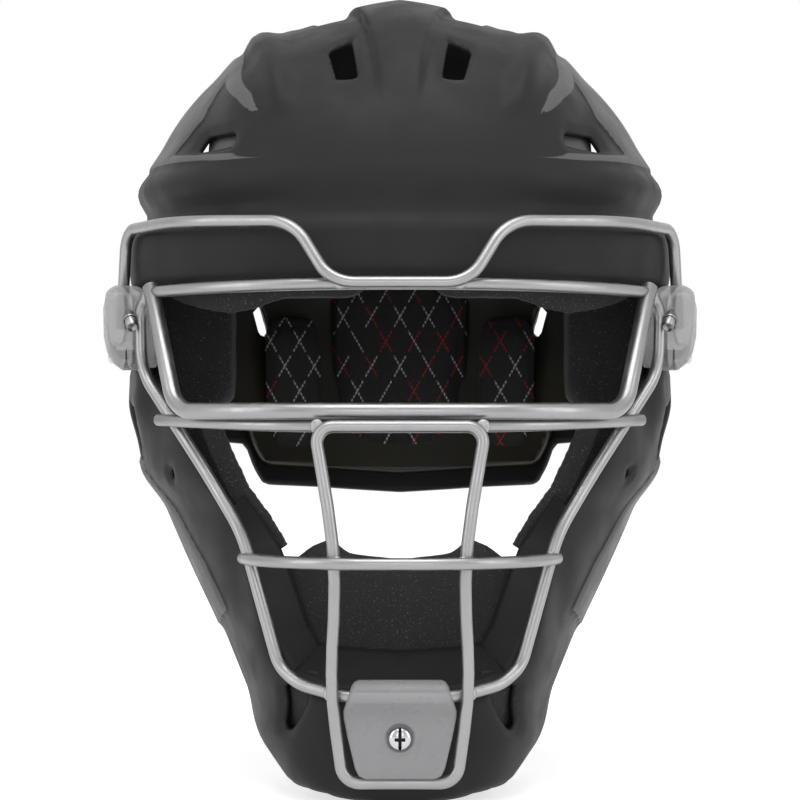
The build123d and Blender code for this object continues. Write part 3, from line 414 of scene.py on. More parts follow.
def shell_edge(p):
    """Signed distance to the shell's edge, positive on it: the least over trim, opening and holes."""
    x, y, z = np.abs(p[:, 0]), p[:, 1], p[:, 2]

    def hole(distance, where):
        """Off the hole where it is cut, and far away elsewhere."""
        return np.where(where, -distance, 1.0)

    parts = [inside(y, z, side_outline()), inside(x, z, chin_outline()),
             hole(inside(x, z, opening_outline()), y < -FACE_OPENING_AHEAD * FRONT_REACH)]
    for rows in TOP_VENT_SHARES:
        outline = plain_outline(rows, HALF_WIDTH, FRONT_REACH, VENT_CORNER)
        parts.append(hole(inside(x, y, outline), z > SPRING))
    for rows, up, ahead in ((FLANK_VENT_SHARES, CROWN, FLANK_VENT_AHEAD),
                            (CHIN_VENT_SHARES, CHIN_DROP, CHIN_VENT_AHEAD)):
        outline = plain_outline(rows, HALF_WIDTH, up, VENT_CORNER)
        parts.append(hole(inside(x, z, outline), y < -ahead * FRONT_REACH))
    for rows, across, up in ((REAR_VENT_SHARES, BACK_REACH, CROWN),
                             (JAW_VENT_SHARES, FRONT_REACH, CHIN_DROP)):
        parts.append(hole(inside(y, z, plain_outline(rows, across, up, VENT_CORNER)), x > HALF_WIDTH / 3))
    for share in EAR_SLOT_SHARES:
        ear = slot(y, z, share * BACK_REACH, EAR_SLOT_LONG / 10, EAR_SLOT_LONG, EAR_SLOT_WIDE)
        parts.append(hole(ear, x > HALF_WIDTH / 2))
    snap = skin_yz(-SNAP_FORWARD, -SNAP_DROP)
    parts.append(np.linalg.norm(np.stack((x, y, z), 1) - snap, axis=1) - SNAP_HOLE / 2)
    return np.min(parts, axis=0)


def slot(a, b, a0, b0, long, wide):
    """Signed distance to a leaning round-ended slot, positive inside."""
    turn = math.radians(SLOT_LEAN)
    along = (a - a0) * math.cos(turn) + (b - b0) * math.sin(turn)
    across = -(a - a0) * math.sin(turn) + (b - b0) * math.cos(turn)
    return wide / 2 - np.hypot(np.maximum(np.abs(along) - (long - wide) / 2, 0), across)


def shell_relief(p, edge):
    """How far the shell's face stands off the skin, and the signed distance to its inlays."""
    x, y, z = np.abs(p[:, 0]), p[:, 1], p[:, 2]
    side = smooth(x, *SIDES)
    ease = BROW_EASE * (1 - side)
    band = smooth(z - BAND_BOTTOM, *BAND_EASE) * smooth(-y - BAND_END, -BAND_STEP, BAND_STEP)
    band *= smooth(BAND_TOP - z, BAND_EASE[0] - ease, BAND_EASE[1] + ease)
    middle = (BAND_TOP + BAND_BOTTOM) / 2
    belly = np.clip(1 - ((z - middle) / (BAND_TOP - middle))**2, 0, 1)
    relief = BAND_RAISE * band * (BAND_FLAT + (1 - BAND_FLAT) * belly)
    for height, width, front, further in (CHANNEL, LEDGE):
        relief += (front + further * side) * np.exp(-((z - height) / width)**2) * smooth(y, *REAR_FADE)
    crest = inside(x, y, plain_outline(CREST_SHARES, HALF_WIDTH, FRONT_REACH))
    peak = CREST_RAISE + CREST_PEAK * np.clip(1 - x / CREST_HALF, 0, 1)
    relief += peak * smooth(crest, *CREST_SIDE) * smooth(z, *CREST_RISE) * smooth(z, *CREST_LAST)
    ridge = inside(x, y, plain_outline(SIDE_CREST_SHARES, HALF_WIDTH, FRONT_REACH))
    relief += RIDGE_RAISE * smooth(ridge, *RIDGE_SIDE) * smooth(z, *RIDGE_RISE) + swell(p, *VALLEY)
    inlay = np.maximum(*(inside(y, z, np.array(rows) / 1000) for rows in (FLANK_INLAY_MM, JAW_INLAY_MM)))
    inlay = np.where(x > INLAY_FROM, inlay, NO_INLAY)
    relief += INLAY_RAISE * smooth(inlay, *INLAY_SIDE)
    relief -= EDGE_ROLL * np.clip(1 - edge / EDGE_REACH, 0, 1)**2
    return relief, inlay


def skin_levels(low, step, extra=()):
    """Heights for the grid's rows: even steps below the spring line, and even arcs of the dome above it."""
    below = np.arange(low, SPRING, step)
    arcs = np.linspace(0, math.pi / 2, int(round(1.45 * (CROWN - SPRING) / step)) + 1)[:-1]
    dome = SPRING + (CROWN - SPRING) * np.sin(arcs)
    return np.unique(np.round(np.concatenate((below, dome, np.array(extra))), 6))


def skin_grid(levels, columns, inset=0.0):
    """Points and triangles of the skin over the levels, its top closed by a fan."""
    turn = (np.arange(columns) + 0.5) * 2 * math.pi / columns
    points = skin(turn[None, :], levels[:, None], inset).reshape(-1, 3)
    triangles = triangles_of(grid_faces(len(levels), columns, close_v=True))
    top = (0.0, float(skin_level(CROWN - inset, inset)[3]), CROWN - inset)
    ring = (len(levels) - 1) * columns + np.arange(columns)
    fan = np.stack((ring, np.roll(ring, -1), np.full(columns, len(points))), 1)
    return np.concatenate((points, [top])), np.concatenate((triangles, fan))


def walled(outer, inner, faces):
    """Outer and inner faces of a sheet, joined by walls along its open edges."""
    edges = faces[:, [0, 1, 1, 2, 2, 0]].reshape(-1, 2)
    _, where, count = np.unique(np.sort(edges, 1), axis=0, return_inverse=True, return_counts=True)
    a, b = edges[count[where.ravel()] == 1].T
    n = len(outer)
    walls = (np.stack((b, a, a + n), 1), np.stack((b, a + n, b + n), 1))
    return np.concatenate((outer, inner)), np.concatenate((faces, faces[:, ::-1] + n, *walls))


def lip_sheet(stations=90, rows=9):
    """The jaw's inner return: a ruled strip from the opening's edge back and inwards, its stations eased."""
    table = LIP_SHARES
    steps = np.diff(table[:, :2], axis=0) * (HALF_WIDTH, OPENING_FLOOR)
    run = np.concatenate(([0], np.cumsum(np.hypot(*steps.T))))
    at = np.linspace(0, run[-1], stations)
    eased = np.stack([np.interp(at, run, table[:, k]) for k in range(table.shape[1])], 1)
    x, z = eased[:, 0] * HALF_WIDTH, eased[:, 1] * OPENING_FLOOR
    out = eased[:, 2:4] / np.linalg.norm(eased[:, 2:4], axis=1, keepdims=True)
    edge = skin_xz(x, z, inset=WALL / 4)
    back = np.stack((x - out[:, 0] * LIP_RISE * eased[:, 4], -LIP_BACK * eased[:, 5],
                     z - out[:, 1] * LIP_RISE * eased[:, 4]), 1)
    t = np.linspace(0, 1, rows)[:, None, None]
    half = edge[None] * (1 - t) + back[None] * t
    strip = np.concatenate((half[:, :0:-1] * (-1, 1, 1), half), 1)
    return strip.reshape(-1, 3), triangles_of(grid_faces(rows, strip.shape[1]))[:, [0, 2, 1]]


def main_shell(material):
    """The front shell: the skin's grid cut to its outline, raised by its relief, with the jaw's lip."""
    points, triangles = skin_grid(skin_levels(SHELL_LOW, SHELL_STEP, BAND_LEVELS), SHELL_COLUMNS)
    field = shell_edge(points)
    relief, inlay = shell_relief(points, np.maximum(field, 0))
    form = sum(swell(points, *row) for row in (CLIP_FLARE, FULL_BAND_END, FULL_CHIN, FLAT_FLANK, SLIM_JAW))
    outward = normals_of(points, triangles)
    raised = points + outward * (relief + form)[:, None]
    inner = points + outward * (form - WALL)[:, None]
    outer, faces, extra = clipped(raised, triangles, field, np.column_stack((inner, inlay)))
    shell = walled(outer, extra[:, :3], faces)
    lip, lip_faces = lip_sheet()
    lip = walled(lip, lip - normals_of(lip, lip_faces) * WALL, lip_faces)
    piece = new_piece("shell", *merged(shell, lip), material)
    paint(piece, "inlay", np.concatenate((extra[:, 3], np.full(len(outer) + len(lip[0]), NO_INLAY))))
    helmet_piece(piece, "shell", "main_shell")


# Materials: colour, roughness and bump are worked out in the nodes, with lengths in metres

def principled(name, color, roughness, metallic=0.0, **sockets):
    """A named material with its shader's constant sockets set."""
    material = bpy.data.materials.new(name)
    material.use_nodes = True
    shader = material.node_tree.nodes["Principled BSDF"]
    shader.inputs["Base Color"].default_value = (*color, 1.0)
    shader.inputs["Roughness"].default_value = roughness
    shader.inputs["Metallic"].default_value = metallic
    for socket, value in sockets.items():
        shader.inputs[socket.replace("_", " ")].default_value = value
    return material


class Nodes:
    """Short calls for adding nodes to a material."""

    def __init__(self, material):
        self.tree = material.node_tree
        self.shader = self.tree.nodes["Principled BSDF"]
        self.place = self.tree.nodes.new("ShaderNodeTexCoord").outputs["Object"]

    def link(self, source, target):
        """Join two sockets."""
        self.tree.links.new(source, target)

    def value(self, socket, value):
        """Give a socket a link or a constant; None leaves it alone."""
        if hasattr(value, "links"):
            self.link(value, socket)
        elif value is not None:
            socket.default_value = value

    def noise(self, scale, detail=2.0, roughness=0.5, place=None):
        """Noise from 0 to 1 over the object's own coordinates."""
        node = self.tree.nodes.new("ShaderNodeTexNoise")
        self.link(place or self.place, node.inputs["Vector"])
        node.inputs["Scale"].default_value = scale
        node.inputs["Detail"].default_value = detail
        node.inputs["Roughness"].default_value = roughness
        return node.outputs["Fac"]

    def math(self, operation, a, b=None, c=None):
        """One operation on up to three values."""
        node = self.tree.nodes.new("ShaderNodeMath")
        node.operation = operation
        for socket, value in zip(node.inputs, (a, b, c)):
            self.value(socket, value)
        return node.outputs[0]

    def range(self, value, low, high, to_low=0.0, to_high=1.0, kind="SMOOTHSTEP"):
        """One range mapped to another along an S-curve."""
        node = self.tree.nodes.new("ShaderNodeMapRange")
        node.interpolation_type = kind
        for socket, number in zip(node.inputs, (value, low, high, to_low, to_high)):
            self.value(socket, number)
        return node.outputs[0]

    def mix(self, factor, a, b):
        """Two colours mixed by a factor."""
        node = self.tree.nodes.new("ShaderNodeMix")
        node.data_type = "RGBA"
        self.value(node.inputs["Factor"], factor)
        for socket, color in ((node.inputs["A"], a), (node.inputs["B"], b)):
            self.value(socket, color if hasattr(color, "links") else (*color, 1.0))
        return node.outputs["Result"]

    def bump(self, height, distance, strength=1.0, normal=None):
        """A height as bump on the shader, over an earlier bump if there is one."""
        node = self.tree.nodes.new("ShaderNodeBump")
        node.inputs["Strength"].default_value = strength
        node.inputs["Distance"].default_value = distance
        self.link(height, node.inputs["Height"])
        if normal:
            self.link(normal, node.inputs["Normal"])
        self.link(node.outputs["Normal"], self.shader.inputs["Normal"])
        return node.outputs["Normal"]

    def attribute(self, name):
        """A number painted on the vertices."""
        node = self.tree.nodes.new("ShaderNodeAttribute")
        node.attribute_name = name
        return node.outputs["Fac"]


def finish(name, tone, mottle=None, rough=0.5, gloss=None, grain=None, metallic=0.0, **sockets):
    """A tone mottled with another, roughness that varies and a grain as bump, each by its own noise."""
    material = principled(name, tone, rough, metallic, **sockets)
    n = Nodes(material)
    if mottle:
        scale, detail, other = mottle
        tone = n.mix(n.noise(scale, detail), tone, other)
        n.link(tone, n.shader.inputs["Base Color"])
    if gloss:
        scale, detail, low, high = gloss
        n.link(n.range(n.noise(scale, detail), 0.3, 0.7, low, high), n.shader.inputs["Roughness"])
    if grain:
        scale, detail, depth, strength = grain
        n.bump(n.noise(scale, detail), depth, strength)
    return material, n, tone


def shell_material():
    """Matt charcoal plastic with a fine moulded grain, pale where the inlay distance is positive."""
    material, n, dark = finish("shell_plastic", (0.0160, 0.0154, 0.0160),
                               (9.0, 3.0, (0.0205, 0.0198, 0.0205)), 0.52, (60.0, 4.0, 0.44, 0.58),
                               (2600.0, 2.0, 0.00005, 0.5), Specular_IOR_Level=0.14)
    edge = n.range(n.attribute("inlay"), -0.00012, 0.00012)
    n.link(n.mix(edge, dark, (0.105, 0.103, 0.105)), n.shader.inputs["Base Color"])
    return material


def satin_steel():
    """Silver powder coat over steel wire: soft gloss, fine orange peel, and slightly duller cloudy parts."""
    return finish("satin_steel", (0.265, 0.265, 0.27), (38.0, 3.0, (0.32, 0.32, 0.325)), 0.34,
                  (150.0, 3.0, 0.28, 0.42), (1500.0, 2.0, 0.00003, 0.35), 0.92)[0]


def weld_steel():
    """The beads' rough, mottled steel."""
    return finish("weld_steel", (0.22, 0.22, 0.225), (700.0, 3.0, (0.46, 0.46, 0.465)), 0.45,
                  grain=(1300.0, 3.0, 0.0002, 0.8), metallic=0.9)[0]


def frosted_clip():
    """Smoky clear plastic, frosted by its mould: what lies behind shows through dimly."""
    return finish("frosted_clip", (0.36, 0.36, 0.37), (45.0, 3.0, (0.41, 0.41, 0.42)), 0.30,
                  (220.0, 3.0, 0.24, 0.44), (900.0, 2.0, 0.00004, 0.4), Alpha=0.66, IOR=1.46)[0]


def bright_screw():
    """Plated steel, polished; the slots of a head are painted dark inside, as painted shade."""
    plated = (0.46, 0.46, 0.47)
    material, n, _ = finish("bright_screw", plated, None, 0.16, (500.0, 2.0, 0.10, 0.22),
                            (900.0, 2.0, 0.00002, 0.3), 1.0)
    # Painted shade: the slots' mask darkens the plated colour inside them
    n.link(n.mix(n.range(n.attribute("slot_and_shade"), 0.35, 0.75), plated, (0.015, 0.015, 0.016)),
           n.shader.inputs["Base Color"])
    return material


def black_foam():
    """Closed-cell foam: near black, cells as fine bumps, and a scatter of painted glints, light spots for cut
    cells that catch the light.
    """
    material, n, body = finish("black_foam", (0.007, 0.007, 0.008), (120.0, 3.0, (0.016, 0.016, 0.017)),
                               0.88, grain=(900.0, 3.0, 0.00035, 0.9))
    # Painted glints: scattered light spots in the base colour where cut cells catch the light
    painted_glint = n.range(n.noise(1500.0, 1.0), 0.66, 0.74)
    n.link(n.mix(painted_glint, body, (0.11, 0.11, 0.115)), n.shader.inputs["Base Color"])
    return material


def grey_foam():
    """Pale grey skinned foam of the fitting pads behind the flank vents, lightly mottled."""
    return finish("grey_foam", (0.13, 0.128, 0.132), (160.0, 3.0, (0.20, 0.198, 0.202)), 0.7,
                  grain=(420.0, 3.0, 0.0003, 0.6))[0]


def olive_foam():
    """Smooth skinned foam of a dark olive, lightly creased."""
    return finish("olive_foam", (0.010, 0.0095, 0.007), (24.0, 3.0, (0.026, 0.023, 0.013)), 0.42,
                  grain=(110.0, 4.0, 0.0004, 0.5))[0]


def rivet_plastic():
    """Near-black nylon of the strap rivets, its gloss uneven."""
    return finish("rivet_plastic", (0.020, 0.020, 0.021), None, 0.36, (90.0, 3.0, 0.28, 0.46),
                  (1400.0, 2.0, 0.00003, 0.4))[0]


PRINT_PERIOD, PRINT_DASH, PRINT_LINE, PRINT_FILL, PRINT_REACH = 0.0112, 0.0016, 0.00038, 0.70, 0.42
PRINT_SLOPES = ((0.87, 0.50), (0.87, -0.50))


def lozenge_knit():
    """Black knit printed with broken lozenge outlines, most of them off white and some dark red."""
    material = principled("lozenge_knit", (0.010, 0.009, 0.010), 0.85)
    n = Nodes(material)
    split = n.tree.nodes.new("ShaderNodeSeparateXYZ")
    n.link(n.place, split.inputs[0])
    x, z = split.outputs["X"], split.outputs["Z"]
    lines = [n.math("ADD", n.math("MULTIPLY", x, a), n.math("MULTIPLY", z, b)) for a, b in PRINT_SLOPES]
    masks, cells = [], []
    for k, (across, along) in enumerate((lines, lines[::-1])):
        share = n.math("FRACT", n.math("DIVIDE", across, PRINT_PERIOD))
        near = n.math("MULTIPLY", n.math("ABSOLUTE", n.math("SUBTRACT", share, 0.5)), PRINT_PERIOD)
        on_line = n.math("LESS_THAN", near, PRINT_LINE)
        beat = n.math("FRACT", n.math("ADD", n.math("DIVIDE", along, PRINT_DASH), 0.37 * k))
        broken = n.math("LESS_THAN", beat, PRINT_FILL)
        side = n.math("FRACT", n.math("DIVIDE", along, PRINT_PERIOD))
        gap = n.math("LESS_THAN", n.math("ABSOLUTE", n.math("SUBTRACT", side, 0.5)), PRINT_REACH)
        masks.append(n.math("MULTIPLY", n.math("MULTIPLY", on_line, broken), gap))
        code = n.tree.nodes.new("ShaderNodeCombineXYZ")
        n.link(n.math("FLOOR", n.math("DIVIDE", across, PRINT_PERIOD)), code.inputs[0])
        n.link(n.math("FLOOR", n.math("DIVIDE", along, PRINT_PERIOD)), code.inputs[1])
        code.inputs[2].default_value = 1.5 * k + 0.5
        chance = n.tree.nodes.new("ShaderNodeTexWhiteNoise")
        n.link(code.outputs[0], chance.inputs["Vector"])
        cells.append(chance.outputs["Value"])
    knit = n.mix(n.noise(400.0, 2.0), (0.006, 0.006, 0.007), (0.016, 0.014, 0.015))
    for mask, chance in zip(masks, cells):
        shown = n.math("MULTIPLY", mask, n.math("GREATER_THAN", chance, 0.08))
        ink = n.mix(n.math("GREATER_THAN", chance, 0.66), (0.42, 0.42, 0.43), (0.30, 0.016, 0.012))
        knit = n.mix(shown, knit, ink)
    n.link(knit, n.shader.inputs["Base Color"])
    stitch = [n.math("SINE", n.math("MULTIPLY", value, turns))
              for value, turns in ((x, 6283.0), (z, 5200.0))]
    n.bump(n.math("MULTIPLY", *stitch), 0.00018, 0.7)
    return material


def woven_elastic():
    """Charcoal elastic: ribs along its length and weft across it."""
    material = principled("woven_elastic", (0.020, 0.020, 0.022), 0.78)
    n = Nodes(material)
    weft, rib = (n.math("SINE", n.math("MULTIPLY", n.attribute(name), 2 * math.pi / pitch))
                 for name, pitch in (("along", 0.0012), ("over", 0.0022)))
    tone = n.range(n.math("MULTIPLY", weft, rib), -1.0, 1.0)
    n.link(n.mix(tone, (0.010, 0.010, 0.011), (0.040, 0.040, 0.043)), n.shader.inputs["Base Color"])
    n.bump(n.math("ADD", weft, rib), 0.00016, 0.8)
    return material


def finish_node(node, material):
    """A node that stays as the CAD made it gets its finish."""
    data = bpy.data.objects[node].data
    if not data.materials:
        data.materials.append(material)
    for k in range(len(data.materials)):
        data.materials[k] = material


# The cage: corners of each wire's right half, in shares of half width, front reach and chin drop

WIRE, PORT_BAR = 0.0046, 0.0064
WELD, WIRE_GAP, CHEEK_AHEAD = 0.0003, 0.001, 0.0006
CROSSING = WIRE - WELD
CAGE_SIZES = np.array((HALF_WIDTH, FRONT_REACH, CHIN_DROP))
PORT_SHARES = np.array(((0.0, -1.233, -0.054), (0.454, -1.233, -0.054), (0.778, -0.969, -0.054),
                        (0.887, -0.752, 0.262)))
TOP_BAR_SHARES, TOP_BAR_BEND, TOP_BAR_END = (0.0, -1.105, 0.256), 0.537, 0.245
JAW_UPPER_SHARES = np.array(((0.541, -1.060, -0.351), (0.657, -0.975, -0.220), (0.924, -0.715, 0.047),
                             (0.931, -0.700, 0.204), (0.884, -0.757, 0.252)))
JAW_LOWER_SHARES = ((0.343, -0.709), (0.412, -0.668))
JAW_FLOOR, JAW_RUN = 0.734, 0.185
CHEEK_BEND, CHEEK_CROSS, CHEEK_END = 0.463, -0.078, 0.855
MOUTH_HEIGHT, MOUTH_REACH, MOUTH_BEND, MOUTH_END, MOUTH_SHARE = 0.412, 1.368, 0.407, 0.540, 0.9
LOOP_SIDE, LOOP_TOP, LOOP_CROSS, LOOP_LOW = 0.209, 0.287, 0.234, 0.190
LOOP_CROSS_HEIGHT, LOOP_FLOOR = 0.712, 0.939
BROW_RUN = 0.236
BROW_SHARES = np.array(((0.366, -1.066, 0.410), (0.787, -0.891, 0.418), (0.996, -0.543, 0.412),
                        (1.018, -0.508, 0.024 / CHIN_DROP)))
STUD_RING, STUD_RING_AT = 0.0028, (0.52, 0.64)
STUD_ROOT, STUD_TIP = np.array((0.1062, -0.0862, 0.0312)), np.array((0.1026, -0.0972, 0.0238))
BEAD, LOOP_BEAD_AT, BROW_BEAD_AT = (0.0026, 0.0012, 0.0027), 0.97, 0.86


def at_value(a, b, axis, value):
    """Point of the line through a and b where its X, Y or Z (0, 1, 2) has a value."""
    return a + (b - a) * ((value - a[axis]) / (b[axis] - a[axis]))


def bent(points, shares):
    """Straight runs joined by tangent arcs that start at a share of the shorter run from the corner."""
    path = [points[0][None]]
    for a, p, b, share in zip(points, points[1:], points[2:], shares):
        back, on = np.linalg.norm(a - p), np.linalg.norm(b - p)
        u, v = (a - p) / back, (b - p) / on
        half = math.acos(u @ v) / 2
        reach = share * min(back, on)
        middle = p + (u + v) / np.linalg.norm(u + v) * (reach / math.cos(half))
        start, end = p + u * reach - middle, p + v * reach - middle
        sweep = math.pi - 2 * half
        t = np.linspace(0, 1, max(4, math.ceil(math.degrees(sweep) / 5)))[:, None]
        path.append(middle + (start * np.sin((1 - t) * sweep) + end * np.sin(t * sweep)) / math.sin(sweep))
    return np.concatenate(path + [points[-1][None]])


def unit(rows):
    """Each row at length 1."""
    return rows / np.linalg.norm(rows, axis=-1, keepdims=True)


def tube(path, radius, closed=False, sides=20, cut=0.0005):
    """A round bar: rings square to the path, turned least from one to the next, its open ends shut."""
    if not closed:
        first, last = path[1] - path[0], path[-2] - path[-1]
        path = np.concatenate((path[:1], path[:1] + first / np.linalg.norm(first) * cut, path[1:-1],
                               path[-1:] + last / np.linalg.norm(last) * cut, path[-1:]))
    ahead, behind = np.roll(path, -1, 0) - path, path - np.roll(path, 1, 0)
    if not closed:
        ahead[-1], behind[0] = behind[-1], ahead[0]
    run = unit(unit(ahead) + unit(behind))
    across = np.empty_like(path)
    side = np.cross(run[0], (0.0, 1.0, 0.001))
    for k, direction in enumerate(run):
        side = side - direction * (side @ direction)
        side /= np.linalg.norm(side)
        across[k] = side
    up = np.cross(run, across)
    size = np.full(len(path), radius)
    if not closed:
        size[[0, -1]] = radius - cut
    turn = np.linspace(0, 2 * math.pi, sides, endpoint=False)
    rings = path[:, None] + size[:, None, None] * (across[:, None] * np.cos(turn)[:, None]
                                                   + up[:, None] * np.sin(turn)[:, None])
    faces = triangles_of(grid_faces(len(path), sides, close_u=closed, close_v=True)[:, ::-1])
    points = rings.reshape(-1, 3)
    if not closed:
        n = len(points)
        k = np.arange(sides)
        first, last = np.roll(k, -1), n - sides + k
        points = np.concatenate((points, path[[0, -1]]))
        caps = [np.stack((first, k, np.full(sides, n)), 1),
                np.stack((last, n - sides + first, np.full(sides, n + 1)), 1)]
        faces = np.concatenate([faces, *caps])
    return points, faces


def merged(*parts):
    """Several sets of points and faces as one."""
    starts = np.cumsum([0] + [len(p) for p, _ in parts[:-1]])
    points, faces = zip(*parts)
    return np.concatenate(points), np.concatenate([f + start for f, start in zip(faces, starts)])


def mirrored(points, faces):
    """The mirror image in the X = 0 plane, its faces turned back outwards."""
    return points * (-1, 1, 1), faces[:, ::-1]


def whole(half, closed=False):
    """A path on the right half with its mirror image."""
    other = half[::-1] * (-1, 1, 1)
    return np.concatenate((half, other[1:-1])) if closed else np.concatenate((other[:-1], half))


def beads(places):
    """Small flattened weld beads: ellipsoids on a grid of turns and heights."""
    turn = np.linspace(0, 2 * math.pi, 12, endpoint=False)
    rise = np.linspace(-math.pi / 2, math.pi / 2, 9)[:, None]
    ball = np.stack((np.cos(rise) * np.cos(turn), np.cos(rise) * np.sin(turn), np.sin(rise) + 0 * turn), -1)
    faces = triangles_of(grid_faces(9, 12, close_v=True))
    return merged(*[(ball.reshape(-1, 3) * BEAD + place, faces) for place in places])


def cage(material, welds):
    """Every wire as a round bar on its bent line, and a bead where two of them are welded."""
    port = PORT_SHARES * CAGE_SIZES
    top = np.array(TOP_BAR_SHARES) * CAGE_SIZES
    top_bar = [top, np.array((TOP_BAR_BEND * HALF_WIDTH, top[1], top[2])),
               at_value(port[2], port[3], 2, TOP_BAR_END * CHIN_DROP)]
    floor = -JAW_FLOOR * CHIN_DROP
    start = skin_xz(0.0, floor) - (0, WIRE / 2 + WIRE_GAP, 0)
    jaw = [start, start + (JAW_RUN * HALF_WIDTH, 0, 0)]
    jaw += [skin_xz(x * HALF_WIDTH, z * CHIN_DROP) - (0, WIRE / 2 + 2 * WIRE_GAP, 0)
            for x, z in JAW_LOWER_SHARES]
    jaw += list(JAW_UPPER_SHARES * CAGE_SIZES)
    cheek = port[0] - (0, CHEEK_AHEAD, (PORT_BAR + WIRE) / 2 - WELD / 2)
    cheek_bend = cheek + (CHEEK_BEND * HALF_WIDTH, 0, 0)
    cheek_cross = at_value(jaw[5], jaw[6], 2, CHEEK_CROSS * CHIN_DROP) - (0, CROSSING, 0)
    cheek_bar = [cheek, cheek_bend, at_value(cheek_bend, cheek_cross, 0, CHEEK_END * HALF_WIDTH)]
    height = -MOUTH_HEIGHT * CHIN_DROP
    mouth = np.array((0.0, -MOUTH_REACH * FRONT_REACH, height))
    mouth_bend = mouth + (MOUTH_BEND * HALF_WIDTH, 0, 0)
    mouth_cross = at_value(jaw[3], jaw[4], 2, height) - (0, CROSSING, 0)
    mouth_bar = [mouth, mouth_bend, at_value(mouth_bend, mouth_cross, 0, MOUTH_END * HALF_WIDTH)]
    mouth_line = bent(mouth_bar, (MOUTH_SHARE,))
    side = LOOP_SIDE * HALF_WIDTH
    loop_cross = at_value(jaw[1], jaw[2], 0, LOOP_CROSS * HALF_WIDTH)
    loop_floor = -LOOP_FLOOR * CHIN_DROP
    low = np.array((LOOP_LOW * HALF_WIDTH, skin_xz(0.0, loop_floor)[1] - WIRE / 2 - WIRE_GAP, loop_floor))
    loop_top = np.array((LOOP_TOP * HALF_WIDTH, cheek[1] - CROSSING, cheek[2]))
    loop_mouth = np.array((side, np.interp(side, mouth_line[:, 0], mouth_line[:, 1]) + CROSSING, height))
    loop_jaw = np.array((loop_cross[0], loop_cross[1] - CROSSING, -LOOP_CROSS_HEIGHT * CHIN_DROP))
    loop = [loop_top * (0, 1, 1), loop_top, loop_mouth, loop_jaw, low, low * (0, 1, 1)]
    over = top - (0, CROSSING, -WELD)
    brow = [over, over + (BROW_RUN * HALF_WIDTH, 0, 0)] + list(BROW_SHARES * CAGE_SIZES)
    wires = (("brow_wire", brow, (0.35, 0.35, 0.40, 0.22), WIRE),
             ("eye_port_bar", port, (0.70, 0.20), PORT_BAR),
             ("eye_top_bar", top_bar, (0.88,), WIRE),
             ("cheek_bar", cheek_bar, (0.88,), WIRE),
             ("mouth_bar", mouth_bar, (MOUTH_SHARE,), WIRE),
             ("centre_loop", loop, (0.22, 0.45, 0.45, 0.30), WIRE),
             ("jaw_wire", jaw, (0.40, 0.40, 0.40, 0.30, 0.45, 0.40, 0.40), WIRE))
    for node, points, shares, thick in wires:
        closed = node == "centre_loop"
        path = whole(bent(points, shares), closed)
        piece = new_piece(node + "_rod", *tube(path, thick / 2, closed), material)
        helmet_piece(piece, "cage", node)
    along = STUD_TIP - STUD_ROOT
    bar = tube(np.stack((STUD_ROOT, STUD_TIP)), WIRE / 2)
    collar = tube(np.stack([STUD_ROOT + share * along for share in STUD_RING_AT]), STUD_RING, cut=0.0002)
    studs = merged(bar, collar, mirrored(*bar), mirrored(*collar))
    helmet_piece(new_piece("cage_stud_rods", *studs, material), "cage", "cage_studs")
    behind = np.array((0, CROSSING / 2, 0))
    places = [cheek_cross + behind, mouth_cross + behind, loop_mouth - behind, loop_cross - behind,
              loop_top * (LOOP_BEAD_AT, 1, 1) + behind,
              over + (BROW_RUN * HALF_WIDTH * BROW_BEAD_AT, 0, 0) + behind]
    places += [p * (-1, 1, 1) for p in places]
    helmet_piece(new_piece("cage_welds", *beads(places), welds), "cage")
    return start


def helmet_piece(piece, slot_name, *nodes):
    """Fasten a piece to the helmet body and hide the nodes that it stands for; the slot name is not used."""
    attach(piece, "helmet")
    if nodes:
        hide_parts(*nodes)


# Clips and screws

# Side clip: its front outline and raised lobe, and its side face by height, in millimetres across and up
CLIP_OUTLINE_MM = ((107.0, 40.2), (109.3, 40.7), (112.0, 39.4), (113.8, 37.6), (114.1, 32.3), (113.5, 27.6),
                   (112.8, 20.0), (112.2, 14.5), (110.6, 10.9), (108.8, 8.3), (107.0, 7.2), (106.3, 8.6),
                   (106.1, 12.0), (106.0, 15.6), (105.5, 15.6), (105.4, 12.0), (105.2, 9.4), (104.4, 8.4),
                   (103.4, 8.8), (103.1, 11.4), (103.1, 19.2), (103.1, 27.7), (103.1, 34.6), (103.6, 36.6),
                   (105.1, 37.4))
CLIP_LOBE_MM = ((105.4, 35.4), (106.8, 37.2), (110.4, 37.4), (112.6, 35.0), (112.5, 26), (111.8, 17.2),
                (105.4, 16.8))
CLIP_SIDE_MM = ((7.2, 109.0), (8.6, 111.6), (11.5, 113.9), (15, 115.7), (21, 117.0), (32, 117.2),
                (36.5, 116.2), (39.5, 113.6), (41.0, 110.6))
CLIP_MIDDLE = np.array((0.10575, 0.026))
CLIP_FRONT, CLIP_BACK, CLIP_WIDEN = -0.0905, -0.0500, 0.024
CLIP_ROUND, CLIP_ROUND_DEEP, CLIP_TAIL, CLIP_TAIL_IN = 0.88, 0.0014, 0.86, 0.16
CLIP_LOBE_RAISE, CLIP_LOBE_SIDE, CLIP_NECK = 0.0013, (-0.0003, 0.0009), (-0.0870, -0.0800)
CLIP_SQUARE, CLIP_SQUARE_OUT, CLIP_CORNER = (-0.078, -0.066), (0.80, 0.98), (0.25, 0.62)
CLIP_SEAT = 0.0004
SCREW_SEAT, SCREW_OUT = np.array((0.1140, -0.0604, 0.0140)), np.array((0.974, -0.227, 0.0))
SIDE_HEAD, SIDE_RISE, SHANK_RADIUS, SHANK_LONG = 0.0036, 0.0019, 0.0019, 0.0145


